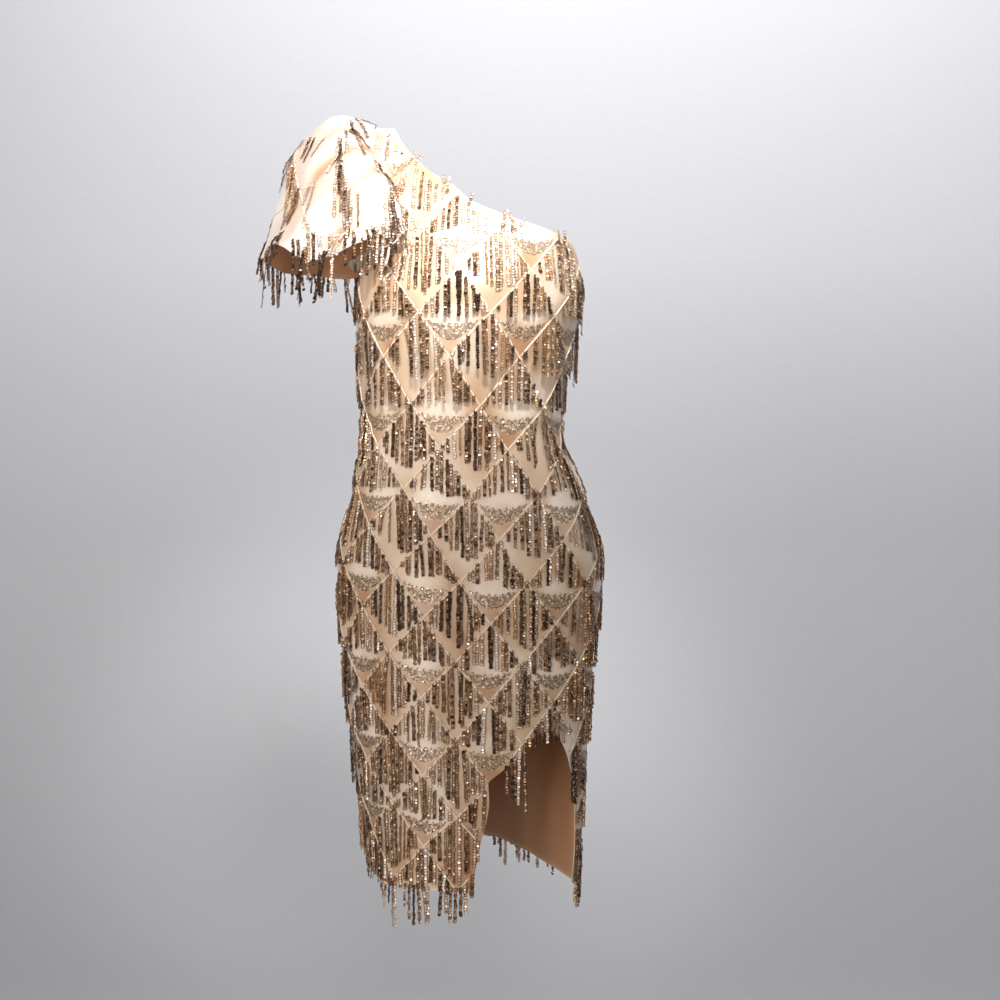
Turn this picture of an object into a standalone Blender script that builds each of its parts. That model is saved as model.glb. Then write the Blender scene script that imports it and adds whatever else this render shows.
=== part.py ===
"""One-shoulder sheath dress with a puffed sleeve and rows of hanging sequin fringe.

Metres, +Z up. The front faces -Y. The origin is the underside of the shoulder
seam, where a shoulder holds the dress up. All seams lie in the plane y = 0.
"""
import math

import bmesh
import bpy
from mathutils import Vector

# ---------------------------------------------------------------- driving sizes
WALL = 0.0015             # thickness of the body cloth
SLEEVE_WALL = 0.0012      # thickness of the sleeve cloth
SEAM_GAP = 0.0003         # distance between pieces at a seam
LAP_GAP = 0.0008          # distance of what lies on the cloth from its outer side
SQUARENESS = 2.3          # power of the closed section curve, 2 is an ellipse

BUST_LEVEL = -0.200
HEM_LEVEL = -0.868

# Height of the hem round each panel, from the sleeve's side seam to the other.
HEM = (
    # turn, front, back
    (0.00, -0.852, -0.852),
    (0.18, -0.860, -0.849),
    (0.36, -0.868, -0.845),
    (0.52, -0.868, -0.844),
    (0.64, -0.868, -0.860),
    (0.76, -0.873, -0.876),
    (0.88, -0.882, -0.884),
    (1.00, -0.885, -0.885),
)

# Body sections from the shoulder down: the centre and half width along X, and
# how far the section reaches forward and back of the side seams.
SECTIONS = (
    # height, centre, half_width, front, back
    (0.000, 0.094, 0.160, 0.0004, 0.0004),
    (-0.003, 0.094, 0.159, 0.012, 0.012),
    (-0.010, 0.094, 0.157, 0.026, 0.025),
    (-0.030, 0.095, 0.150, 0.048, 0.048),
    (-0.060, 0.097, 0.142, 0.072, 0.072),
    (-0.100, 0.100, 0.134, 0.096, 0.090),
    (-0.150, 0.101, 0.125, 0.114, 0.098),
    (-0.200, 0.0985, 0.130, 0.124, 0.095),
    (-0.257, 0.093, 0.123, 0.112, 0.084),
    (-0.345, 0.089, 0.116, 0.095, 0.075),
    (-0.430, 0.098, 0.135, 0.100, 0.105),
    (-0.503, 0.0995, 0.153, 0.099, 0.125),
    (-0.608, 0.0975, 0.145, 0.101, 0.118),
    (-0.714, 0.0995, 0.1345, 0.101, 0.106),
    (-0.784, 0.102, 0.1265, 0.100, 0.100),
    (-0.870, 0.105, 0.120, 0.100, 0.098),
    (-0.940, 0.106, 0.116, 0.100, 0.096),
)

# The top edge of a panel, seen from the front, from the side seam under the
# sleeve round to the other side seam. The back panel repeats it.
UNDERARM_EDGE = ((-0.0235, -0.152), (0.003, -0.149), (0.0248, -0.1416))
ARMHOLE_EDGE = (
    (0.0248, -0.1416), (0.0317, -0.1331), (0.0282, -0.1192), (0.0223, -0.1016),
    (0.0138, -0.0806), (0.0037, -0.0574), (-0.0091, -0.0306), (-0.0117, 0.0),
)
NECK_EDGE = (
    (0.0110, 0.0), (0.0165, -0.0120), (0.0272, -0.0306), (0.0552, -0.0625),
    (0.0819, -0.0805), (0.1012, -0.0990),
    (0.1457, -0.1183), (0.1906, -0.1315), (0.2116, -0.1397),
)
SIDE_EDGE = ((0.2116, -0.1397), (0.2205, -0.1520), (0.2258, -0.1670), (0.2300, -0.1837))

PANEL_COLUMNS = 20        # columns of faces across a panel
ROW_HEIGHTS = (
    0.0, -0.004, -0.013, -0.032, -0.055, -0.080, -0.105, -0.130, -0.155, -0.178,
    -0.200, -0.228, -0.257, -0.280, -0.302, -0.324, -0.345, -0.363, -0.381, -0.400,
    -0.420, -0.442, -0.465, -0.485, -0.503, -0.540, -0.575, -0.608, -0.660, -0.714,
    -0.784,
)
FAR = 0.6                 # past the dress, for the outline's outer corners

# The slit in the front panel: its free edge, and its edge near the side seam.
SLIT = (
    # height, left, right
    (-0.692, 0.1835, 0.1905),
    (-0.696, 0.1745, 0.1965),
    (-0.705, 0.1655, 0.2030),
    (-0.720, 0.1545, 0.2095),
    (-0.735, 0.1365, 0.2135),
    (-0.749, 0.1215, 0.2165),
    (-0.768, 0.1225, 0.2187),
    (-0.790, 0.1195, 0.2195),
    (-0.818, 0.1123, 0.2195),
    (-0.868, 0.1033, 0.2160),
)

# ---------------------------------------------------------------- sleeve
SLEEVE_SIDES = 44
SLEEVE_HEM_REACH = 0.103      # half size of the hem along X
SLEEVE_HEM_DEPTH = 0.104      # half size of the hem along Y
SLEEVE_HEM_CENTRE = -0.038
SLEEVE_HEM_LEVEL = -0.157
SLEEVE_HEM_TILT = 0.007       # the hem is this much higher in front
SLEEVE_HEM_TURN = 125.0       # degrees of the hem curve from its tip to the body
SLEEVE_LAP = 0.0020        # the sleeve's seam lies this far outside the body cloth
UNDERARM_LAP = 0.0025    # the sleeve starts this much further out under the arm
UNDERARM_DROP = 0.008
UNDERARM_OUT = 0.012
GATHERS = 9
GATHER_DEPTH = 0.0030
HEM_WAVES = 6
HEM_WAVE_DEPTH = 0.0055
# The top line of the sleeve as shares of the straight line from seam to hem.
SLEEVE_CROWN = (
    # along, out
    (0.000, 0.000), (0.028, 0.092), (0.060, 0.170), (0.150, 0.237), (0.265, 0.254),
    (0.365, 0.250), (0.480, 0.227), (0.580, 0.175), (0.690, 0.122), (0.780, 0.086),
    (0.880, 0.043), (1.000, 0.000),
)
# How far the hem rises or dips, by degrees from its tip round the front.
SLEEVE_HEM_DIP = (
    # angle, rise
    (0.0, 0.003), (20.0, 0.006), (36.0, 0.008), (50.0, -0.001), (64.0, -0.014),
    (80.0, -0.012), (94.0, -0.005), (112.0, 0.004), (125.0, 0.008),
)

# ---------------------------------------------------------------- fringe
CELL_WIDTH = 0.079        # a diamond of the lattice, side corner to side corner
ROW_PITCH = 0.0465        # half the height of a diamond
FIRST_ROW = -0.1786       # height of the top corners in row 0
ROWS = range(-2, 14)
# Sideways place of the lattice's middle column against the panel's middle.
LATTICE_DRIFT = (
    # height, shift
    (0.0, 0.034), (-0.214, 0.029), (-0.320, 0.021), (-0.425, 0.011),
    (-0.530, 0.001), (-0.714, -0.010), (-0.900, -0.020),
)
TAPE_WIDTH = 0.005        # strip that the strands are sewn to
TAPE_THICKNESS = 0.0012
ROW_PARTING = 0.0065      # the strip stops this far above the row below
CORNER_INSET = 0.006      # a lock starts this far from a side corner
LEAF_DROP = 1.66          # length of a leaf tuft, in row pitches
LEAF_TIP = 0.005          # half width of its end
BLUNT_DROP = 1.12         # length of a blunt tuft, in row pitches
BLUNT_TIP = 0.025
LOCK_THICKNESS = 0.0035
LOCK_CLEARANCE = 0.0012
NECK_LOCKS = 7            # locks under the neckline
NECK_TAPE_DROP = 0.006
NECK_LOCK_LENGTH = 0.050
NECK_TIP = 0.008          # half width of their ends
LEAST_LOCK = 0.008        # a shorter lock is left out
NECK_CLEARANCE = 0.016    # a whole diamond's top keeps this far below the top edge
LEAST_WIDTH = 0.45        # a diamond cut narrower than this by a seam has no lock
HEM_TAPE_TOP = 0.0055     # top of the hem's tape above the hem
TAPE_CLEARANCE = 0.0015
HEM_LOCK_SPACING = 0.042
HEM_LOCK_LENGTHS = {
    "front": (0.040, 0.052, 0.034, 0.046),
    "back": (0.020, 0.016, 0.024, 0.018),
}
HEM_TIP = 0.007
ROOT_INSET = 0.002        # neighbouring locks part this far from the place they share
SLEEVE_GIRTH = 0.44       # round the sleeve, for laying out its fringe
SLEEVE_LENGTH = 0.25      # down the sleeve's top line
SLEEVE_ROWS = (
    # top, reach
    (-0.066, 0.079), (-0.1125, 0.1185), (-0.159, 0.079),
)
SLEEVE_HEM_SHARE = 0.29   # the hem's fringe runs this far round each way
SLEEVE_HEM_LOCKS = 8
SLEEVE_LOCK_LENGTHS = (0.034, 0.043, 0.038)
EDGE_MARGIN = 0.003       # fringe keeps this far inside the edges of the cloth

SATIN = (0.80, 0.60, 0.45, 1.0)
ROSE_GOLD = (0.50, 0.28, 0.20, 1.0)


# ---------------------------------------------------------------- curves
def smooth_row(table, key):
    """The table's row at a key, on smooth curves through its rows."""
    rows = sorted(table)
    if key <= rows[0][0]:
        return rows[0][1:]
    if key >= rows[-1][0]:
        return rows[-1][1:]
    upper = next(i for i, row in enumerate(rows) if row[0] >= key)
    low, high = rows[upper - 1], rows[upper]
    before = rows[max(upper - 2, 0)]
    after = rows[min(upper + 1, len(rows) - 1)]
    span = high[0] - low[0]
    t = (key - low[0]) / span
    values = []
    for k in range(1, len(low)):
        rise = (high[k] - low[k]) / span
        slope_low = limited_slope(before, low, rise, k)
        slope_high = limited_slope(high, after, rise, k)
        values.append(
            low[k] * (1 + 2 * t) * (1 - t) ** 2 + high[k] * t * t * (3 - 2 * t)
            + span * (slope_low * t * (1 - t) ** 2 - slope_high * t * t * (1 - t))
        )
    return tuple(values)


def limited_slope(first, second, rise, k):
    """Slope at the joint of two stretches, flat at a peak so that nothing overshoots."""
    if second[0] == first[0]:
        return rise
    other = (second[k] - first[k]) / (second[0] - first[0])
    if other * rise <= 0:
        return 0.0
    return 2 * other * rise / (other + rise)


def ease(t):
    t = min(max(t, 0.0), 1.0)
    return t * t * (3 - 2 * t)


def lerp(a, b, t):
    return a + (b - a) * t


def spread(points, count):
    """Points at even steps along an open run of points."""
    lengths = [0.0]
    for a, b in zip(points, points[1:]):
        lengths.append(lengths[-1] + math.dist(a, b))
    result = []
    for i in range(count + 1):
        want = lengths[-1] * i / count
        k = 0
        while k < len(points) - 2 and lengths[k + 1] < want:
            k += 1
        t = (want - lengths[k]) / (lengths[k + 1] - lengths[k])
        result.append(tuple(lerp(p, q, t) for p, q in zip(points[k], points[k + 1])))
    return result


# ---------------------------------------------------------------- body surface
def body_point(turn, height):
    """Inner side of the cloth. Turn 0 to 1 is the front, 1 to 2 the back."""
    centre, half_width, front, back = smooth_row(SECTIONS, height)
    angle = math.pi * turn
    across = -math.cos(angle)
    depth = front if turn <= 1.0 else back
    power = 2.0 / SQUARENESS
    x = centre + half_width * math.copysign(abs(across) ** power, across)
    y = -depth * math.copysign(abs(math.sin(angle)) ** power, math.sin(angle))
    return Vector((x, y, height))


def body_normal(turn, height):
    step = 0.004
    along = body_point(turn + step, height) - body_point(turn - step, height)
    up = body_point(turn, min(height + step, 0.0)) - body_point(turn, height - step)
    return along.cross(up).normalized()


def turn_at(x, height):
    """The turn of the front point that lies at x."""
    centre, half_width, _, _ = smooth_row(SECTIONS, height)
    share = min(max((x - centre) / half_width, -1.0), 1.0)
    across = math.copysign(abs(share) ** (SQUARENESS / 2.0), share)
    return math.acos(-across) / math.pi


def mirrored(turn, side):
    return turn if side == "front" else 2.0 - turn


# ---------------------------------------------------------------- panels
def hem_height(side, turn):
    return smooth_row(HEM, turn)[0 if side == "front" else 1]


def panel_outline(side):
    """What is kept of a panel, seen from the front: closed above by its top edge."""
    top = []
    for edge, count in ((UNDERARM_EDGE, 4), (ARMHOLE_EDGE, 12), (NECK_EDGE, 20), (SIDE_EDGE, 5)):
        top += spread(edge, count)[1 if edge is ARMHOLE_EDGE else 0:]
        if edge is ARMHOLE_EDGE:
            top += [(ARMHOLE_EDGE[-1][0], FAR), (NECK_EDGE[0][0], FAR)]
    top.remove(SIDE_EDGE[0])
    outline = [(-FAR, UNDERARM_EDGE[0][1])] + top + [(FAR, SIDE_EDGE[-1][1]), (FAR, -2 * FAR)]
    if side == "front":
        outline.append((SLIT[-1][2], -2 * FAR))
        outline += [(right, height) for height, left, right in reversed(SLIT)]
        outline += [(left, height) for height, left, right in SLIT]
        outline.append((SLIT[-1][1], -2 * FAR))
    outline.append((-FAR, -2 * FAR))
    return outline


def build_outline_cutter(side):
    mesh = bmesh.new()
    near = [mesh.verts.new((x, -FAR, height)) for x, height in panel_outline(side)]
    far = [mesh.verts.new((x, FAR, height)) for x, height in panel_outline(side)]
    mesh.faces.new(near)
    mesh.faces.new(far[::-1])
    for i in range(len(near)):
        j = (i + 1) % len(near)
        mesh.faces.new([near[j], near[i], far[i], far[j]])
    cutter = finish(mesh, side + "_outline", None)
    cutter.hide_render = True
    cutter.display_type = "WIRE"
    return cutter


def build_panel(side, material):
    mesh = bmesh.new()
    rows = []
    for height in ROW_HEIGHTS + (None,):
        line = []
        for col in range(PANEL_COLUMNS + 1):
            turn = col / PANEL_COLUMNS
            z = hem_height(side, turn) if height is None else height
            line.append(mesh.verts.new(body_point(mirrored(turn, side), z)))
        rows.append(line)
    for upper, lower in zip(rows, rows[1:]):
        for col in range(PANEL_COLUMNS):
            face = [upper[col], lower[col], lower[col + 1], upper[col + 1]]
            mesh.faces.new(face if side == "front" else face[::-1])
    thicken(mesh, WALL)
    limit = SEAM_GAP / 2
    for vert in mesh.verts:
        vert.co.y = min(vert.co.y, -limit) if side == "front" else max(vert.co.y, limit)
    bmesh.ops.triangulate(mesh, faces=list(mesh.faces))
    panel = finish(mesh, side, material)
    trim = panel.modifiers.new("outline", "BOOLEAN")
    trim.operation = "INTERSECT"
    trim.object = build_outline_cutter(side)
    return panel


def thicken(mesh, thickness):
    """Gives an open sheet a second side along its normals, and closes its edges."""
    mesh.normal_update()
    sheet = list(mesh.faces)
    border = [edge for edge in mesh.edges if edge.is_boundary]
    rim = []
    for edge in border:
        loop = edge.link_loops[0]
        rim.append((loop.vert, loop.link_loop_next.vert))
    outer = {vert: mesh.verts.new(vert.co + vert.normal * thickness) for vert in list(mesh.verts)}
    for face in sheet:
        mesh.faces.new([outer[vert] for vert in face.verts])
        face.normal_flip()
    for a, b in rim:
        mesh.faces.new([a, b, outer[b], outer[a]])


def finish(mesh, name, material):
    data = bpy.data.meshes.new(name)
    bmesh.ops.recalc_face_normals(mesh, faces=list(mesh.faces))
    mesh.to_mesh(data)
    mesh.free()
    if material:
        data.materials.append(material)
    piece = bpy.data.objects.new(name, data)
    bpy.context.scene.collection.objects.link(piece)
    data.shade_smooth()
    data.set_sharp_from_angle(angle=math.radians(50))
    return piece


# ---------------------------------------------------------------- sleeve surface
ARMHOLE_LINE = list(reversed(ARMHOLE_EDGE)) + list(reversed(UNDERARM_EDGE))[1:]
ARMHOLE_POINTS = spread(ARMHOLE_LINE, 96)
ARMHOLE_JOIN = 0.38       # share of the loop where the armhole turns under the arm


def armhole_point(turn):
    """Outer side of the cloth at the armhole, and its outward direction.

    Turn 0 is the shoulder, 0.25 the front, 0.5 under the arm, 0.75 the back.
    """
    turn %= 1.0
    side = "front" if turn <= 0.5 else "back"
    place = 2 * min(turn, 1 - turn) * (len(ARMHOLE_POINTS) - 1)
    k = min(int(place), len(ARMHOLE_POINTS) - 2)
    x, height = (lerp(a, b, place - k) for a, b in zip(ARMHOLE_POINTS[k], ARMHOLE_POINTS[k + 1]))
    body_turn = turn_at(x, height) * ease((0.5 - min(turn, 1 - turn)) / 0.04)
    body_turn = mirrored(body_turn, side)
    normal = body_normal(body_turn, height)
    under = ease((min(turn, 1 - turn) - 0.2) / 0.15)
    lap = WALL + SLEEVE_LAP + UNDERARM_LAP * under
    return body_point(body_turn, height) + normal * lap, normal


def sleeve_hem_point(turn):
    """The hem: a wide curve outside, and close along the body under the arm."""
    turn = (turn + 0.5) % 1.0 - 0.5
    share = min(abs(turn) / ARMHOLE_JOIN, 1.0)
    angle = math.copysign(math.radians(SLEEVE_HEM_TURN) * share, turn)
    outer = Vector((
        SLEEVE_HEM_CENTRE - SLEEVE_HEM_REACH * math.cos(angle),
        -SLEEVE_HEM_DEPTH * math.sin(angle),
        SLEEVE_HEM_LEVEL + SLEEVE_HEM_TILT * math.sin(angle)
        + smooth_row(SLEEVE_HEM_DIP, max(math.degrees(angle), 0.0))[0],
    ))
    seam, normal = armhole_point(turn)
    level = Vector((normal.x, normal.y, 0)).normalized()
    under = seam + level * UNDERARM_OUT - Vector((0, 0, UNDERARM_DROP))
    return outer.lerp(under, ease((abs(turn) - 0.25) / (ARMHOLE_JOIN - 0.25)))


def sleeve_point(turn, down):
    """A point of the sleeve's inner side; down runs from 0 at the seam to 1 at the hem."""
    turn = (turn + 0.5) % 1.0 - 0.5
    seam = armhole_point(turn)[0]
    straight = sleeve_hem_point(turn) - seam
    place = down * (len(SLEEVE_CROWN) - 1)
    rows = [(i,) + row for i, row in enumerate(SLEEVE_CROWN)]
    along, out = smooth_row(rows, place)
    angle = 2 * math.pi * turn
    side = Vector((-0.768 * math.cos(angle), -math.sin(angle), 0.64 * math.cos(angle)))
    bulge = (side - straight * (side.dot(straight) / straight.length_squared)).normalized()
    fullness = 0.12 + 0.88 * ((1 + math.cos(angle)) / 2) ** 0.8
    point = seam + straight * along + bulge * (straight.length * out * fullness)
    free = ease((0.36 - abs(turn)) / 0.10)
    gather = math.cos(2 * math.pi * GATHERS * turn) * (down / 0.1) * math.exp(1 - down / 0.1)
    wave = math.cos(2 * math.pi * HEM_WAVES * turn + 1.0) * down ** 2
    return point + side * (free * (GATHER_DEPTH * gather + HEM_WAVE_DEPTH * wave))


def sleeve_normal(turn, down):
    step = 0.01
    high = min(down + step, 1.0)
    low = max(down - step, 0.0)
    along = sleeve_point(turn + step, down) - sleeve_point(turn - step, down)
    return along.cross(sleeve_point(turn, low) - sleeve_point(turn, high)).normalized()


def build_sleeve(material):
    mesh = bmesh.new()
    rings = []
    for row in range(len(SLEEVE_CROWN)):
        down = row / (len(SLEEVE_CROWN) - 1)
        ring = [sleeve_point(i / SLEEVE_SIDES, down) for i in range(SLEEVE_SIDES)]
        rings.append([mesh.verts.new(point) for point in ring])
    for upper, lower in zip(rings, rings[1:]):
        for i in range(SLEEVE_SIDES):
            j = (i + 1) % SLEEVE_SIDES
            mesh.faces.new([upper[i], lower[i], lower[j], upper[j]])
    thicken(mesh, SLEEVE_WALL)
    return finish(mesh, "sleeve", material)


# ---------------------------------------------------------------- places on the cloth
GIRTH_STEPS = 40
girth_tables = {}


def girth_table(side, height):
    """Length along the section from the side seam, at even turns across the panel."""
    key = (side, round(height, 5))
    if key not in girth_tables:
        points = [
            body_point(mirrored(i / GIRTH_STEPS, side), height) for i in range(GIRTH_STEPS + 1)
        ]
        lengths = [0.0]
        for a, b in zip(points, points[1:]):
            lengths.append(lengths[-1] + (b - a).length)
        girth_tables[key] = lengths
    return girth_tables[key]


def turn_across(side, across, height):
    """The turn at a distance across the panel from its middle line."""
    lengths = girth_table(side, height)
    want = across + lengths[GIRTH_STEPS // 2]
    k = 0
    while k < GIRTH_STEPS - 1 and lengths[k + 1] < want:
        k += 1
    return (k + (want - lengths[k]) / (lengths[k + 1] - lengths[k])) / GIRTH_STEPS


def across_at(side, x, height):
    lengths = girth_table(side, height)
    place = turn_at(x, height) * GIRTH_STEPS
    k = min(int(place), GIRTH_STEPS - 1)
    return lerp(lengths[k], lengths[k + 1], place - k) - lengths[GIRTH_STEPS // 2]


def edge_x(edge, height):
    rows = sorted((z, x) for x, z in edge)
    for (z0, x0), (z1, x1) in zip(rows, rows[1:]):
        if z0 <= height <= z1:
            return lerp(x0, x1, (height - z0) / (z1 - z0))
    return None


def cloth_span(side, height):
    """Where the cloth begins and ends across the panel at a height."""
    lengths = girth_table(side, height)
    half = lengths[GIRTH_STEPS // 2]
    low, high = -half, lengths[-1] - half
    if height > UNDERARM_EDGE[-1][1]:
        edge = edge_x(ARMHOLE_EDGE[1:], min(height, 0.0))
        low = across_at(side, edge or ARMHOLE_EDGE[1][0], height)
    elif height > UNDERARM_EDGE[0][1]:
        low = across_at(side, edge_x(UNDERARM_EDGE, height), height)
    if height > NECK_EDGE[-1][1]:
        high = across_at(side, edge_x(NECK_EDGE, min(height, 0.0)), height)
    elif height > SIDE_EDGE[2][1]:
        high = across_at(side, edge_x(SIDE_EDGE, height), height)
    if side == "front" and height < SLIT[0][0]:
        left = smooth_row(SLIT, max(height, SLIT[-1][0]))[0]
        high = across_at(side, left, height)
    return low + EDGE_MARGIN, high - EDGE_MARGIN


def on_cloth(side, across, height):
    """Outer side of a panel, and its outward direction."""
    turn = mirrored(turn_across(side, across, height), side)
    normal = body_normal(turn, height)
    return body_point(turn, height) + normal * WALL, normal


# ---------------------------------------------------------------- fringe
def seated(places, surface):
    """Tape points at each place, lifted where the tape's straight runs would dip into the cloth."""
    points = [surface(*place) for place in places]
    lifts = [LAP_GAP] * len(places)
    for i in range(len(places) - 1):
        middle = tuple((a + b) / 2 for a, b in zip(places[i], places[i + 1]))
        point, normal = surface(*middle)
        sag = max((point - (points[i][0] + points[i + 1][0]) / 2).dot(normal), 0.0)
        for k in (i, i + 1):
            lifts[k] = max(lifts[k], LAP_GAP + sag)
    return [(point + normal * lift, normal) for (point, normal), lift in zip(points, lifts)]


def build_fringe(name, places, locks, surface, material):
    """A tape through the places, with locks that hang from runs of three of them.

    A place is across and height. A lock is the number of its first place, and
    the across and height of its tip, with the tip's half width.
    """
    tape = seated(places, surface)
    root = seated([(across, height - TAPE_WIDTH) for across, height in places], surface)
    mesh = bmesh.new()
    sections = []
    for (top, top_out), (low, low_out) in zip(tape, root):
        corners = (top, top + top_out * TAPE_THICKNESS, low + low_out * LOCK_THICKNESS / 2, low)
        sections.append([mesh.verts.new(corner) for corner in corners])
    hung = {first + step for first, *_ in locks for step in (0, 1)}
    for i in range(len(sections) - 1):
        a, b = sections[i], sections[i + 1]
        for k in range(4):
            if k == 2 and i in hung:
                continue
            mesh.faces.new([a[k], a[(k + 1) % 4], b[(k + 1) % 4], b[k]])
    mesh.faces.new(sections[0])
    mesh.faces.new(sections[-1][::-1])
    for first, across, height, half_width in locks:
        span = slice(first, first + 3)
        root_places = [(a, z - TAPE_WIDTH) for a, z in places[span]]
        hang_lock(mesh, sections[span], root_places, (across, height), half_width, surface)
    return finish(mesh, name, material)


def hang_lock(mesh, roots, root_places, tip, half_width, surface):
    """A flat tapering lock that falls straight down, clear of the cloth."""
    tip_places = [(tip[0] + step * half_width, tip[1]) for step in (-1, 0, 1)]
    tips = [surface(*place) for place in tip_places]
    level = Vector((tips[1][1].x, tips[1][1].y, 0)).normalized()
    clear = max(LOCK_CLEARANCE, (roots[1][3].co - tips[1][0]).dot(level))
    for share in (0.25, 0.5, 0.75, 1.0):
        for k, part in ((0, 0.0), (0, 0.5), (1, 0.0), (1, 0.5), (2, 0.0)):
            m = min(k + 1, 2)
            place = [
                lerp(lerp(root_places[k][i], root_places[m][i], part),
                     lerp(tip_places[k][i], tip_places[m][i], part), share)
                for i in (0, 1)
            ]
            point, out = surface(*place)
            root = roots[k][3].co.lerp(roots[m][3].co, part)
            line = root.lerp(tips[k][0].lerp(tips[m][0], part), share)
            clear = max(clear, ((point - line).dot(out) + LAP_GAP) / share)
    inner = [mesh.verts.new(point + out * clear) for point, out in tips]
    outer = [mesh.verts.new(point + out * (clear + LOCK_THICKNESS)) for point, out in tips]
    for side in (0, 2):
        for low, ends in ((2, outer), (3, inner)):
            mesh.faces.new([roots[1][low], roots[side][low], ends[side]])
            mesh.faces.new([roots[1][low], ends[side], ends[1]])
        mesh.faces.new([inner[side], outer[side], outer[1], inner[1]])
        mesh.faces.new([roots[side][3], roots[side][2], outer[side], inner[side]])


def lattice_shift(side, height):
    return smooth_row(LATTICE_DRIFT, height)[0] if side == "front" else 0.0


hung_cells = {"front": [], "back": []}


def build_body_row(side, row, material):
    """The fringe along one zigzag line of the lattice, and the locks of its diamonds."""
    top = FIRST_ROW - ROW_PITCH * row
    leaf = row % 2 == 1
    places = []
    locks = []
    for number in range(-5, 6):
        centre = (number + (0.0 if leaf else 0.5)) * CELL_WIDTH + lattice_shift(side, top)
        low, high = cloth_span(side, top - ROW_PITCH)
        left = max(centre - CELL_WIDTH / 2, low)
        right = min(centre + CELL_WIDTH / 2, high)
        apex_low, apex_high = cloth_span(side, top + NECK_CLEARANCE)
        if top > BUST_LEVEL and not apex_low < centre < apex_high:
            continue
        if right - left < LEAST_WIDTH * CELL_WIDTH:
            continue
        if not left + 2 * CORNER_INSET < centre < right - 2 * CORNER_INSET:
            continue
        if not places:
            places.append((left, zigzag(top, left - centre)))
        first = len(places)
        for across in (left + CORNER_INSET, centre, right - CORNER_INSET, right):
            places.append((across, zigzag(top, across - centre)))
        drop, half_width = (LEAF_DROP, LEAF_TIP) if leaf else (BLUNT_DROP, BLUNT_TIP)
        half_width = min(half_width, (right - left) / 2 - CORNER_INSET)
        tip = min(max(centre, left + half_width), right - half_width)
        end = top - ROW_PITCH * drop
        hem = hem_height(side, turn_across(side, tip, end))
        end = max(end, hem + HEM_TAPE_TOP + TAPE_CLEARANCE)
        locks.append((first, tip, end, half_width))
        hung_cells[side].append((left, right, centre, top))
    if locks:
        name = "fringe_%s_%02d" % (side, row + 3)
        build_fringe(name, places, locks, lambda a, z: on_cloth(side, a, z), material)


def build_neck_fringe(side, material):
    """Fringe of the diamonds that the neckline cuts, hung just below it."""
    places = []
    for x, height in spread(NECK_EDGE, 2 * NECK_LOCKS + 2)[2:]:
        height -= NECK_TAPE_DROP
        low, high = cloth_span(side, height + NECK_TAPE_DROP)
        across = min(max(across_at(side, x, height), low + EDGE_MARGIN), high - EDGE_MARGIN)
        places.append((across, height))
    locks = []
    for first in range(0, len(places) - 2, 2):
        across, height = places[first + 1]
        end = height - NECK_LOCK_LENGTH
        for left, right, centre, top in hung_cells[side]:
            for step in (-1, 0, 1):
                offset = across + step * NECK_TIP - centre
                if left < centre + offset < right and top > end - ROW_PITCH:
                    end = max(end, zigzag(top, offset) + TAPE_CLEARANCE)
        if end < height - TAPE_WIDTH - LEAST_LOCK:
            locks.append((first, across, end, NECK_TIP))
    surface = lambda a, z: on_cloth(side, a, z)
    build_fringe("fringe_neck_" + side, places, locks, surface, material)


def build_hem_fringe(side, material):
    """The tufts that hang below the hem, from a tape along it."""
    low, high = cloth_span(side, HEM_LEVEL)
    count = int((high - low) / HEM_LOCK_SPACING)
    places = []
    for i in range(2 * count + 1):
        across = lerp(low, high, i / (2 * count))
        hem = hem_height(side, turn_across(side, across, HEM_LEVEL))
        places.append((across, hem + HEM_TAPE_TOP))
    locks = []
    lengths = HEM_LOCK_LENGTHS[side]
    for i in range(count):
        across, height = places[2 * i + 1]
        length = lengths[i % len(lengths)]
        locks.append((2 * i, across, height - length, HEM_TIP))
    surface = lambda a, z: on_cloth(side, a, z)
    build_fringe("fringe_hem_" + side, parted(places), shifted(locks), surface, material)


def parted(places):
    """Each lock's first and last place is doubled, so that locks part at their roots."""
    result = [places[0]]
    for i in range(0, len(places) - 2, 2):
        a, b, c = places[i:i + 3]
        inset = ROOT_INSET / (c[0] - a[0])
        result.append(tuple(lerp(p, q, inset) for p, q in zip(a, c)))
        result.append(b)
        result.append(tuple(lerp(q, p, inset) for p, q in zip(a, c)))
    return result + [places[-1]]


def shifted(locks):
    return [(first // 2 * 3 + 1, across, height, width) for first, across, height, width in locks]


def on_sleeve(across, height):
    """Outer side of the sleeve; across and height run round it and down it."""
    turn = across / SLEEVE_GIRTH
    down = min(-height / SLEEVE_LENGTH, 1.0)
    below = Vector((0, 0, min(height + SLEEVE_LENGTH, 0.0)))
    normal = sleeve_normal(turn, down)
    return sleeve_point(turn, down) + normal * SLEEVE_WALL + below, normal


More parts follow.
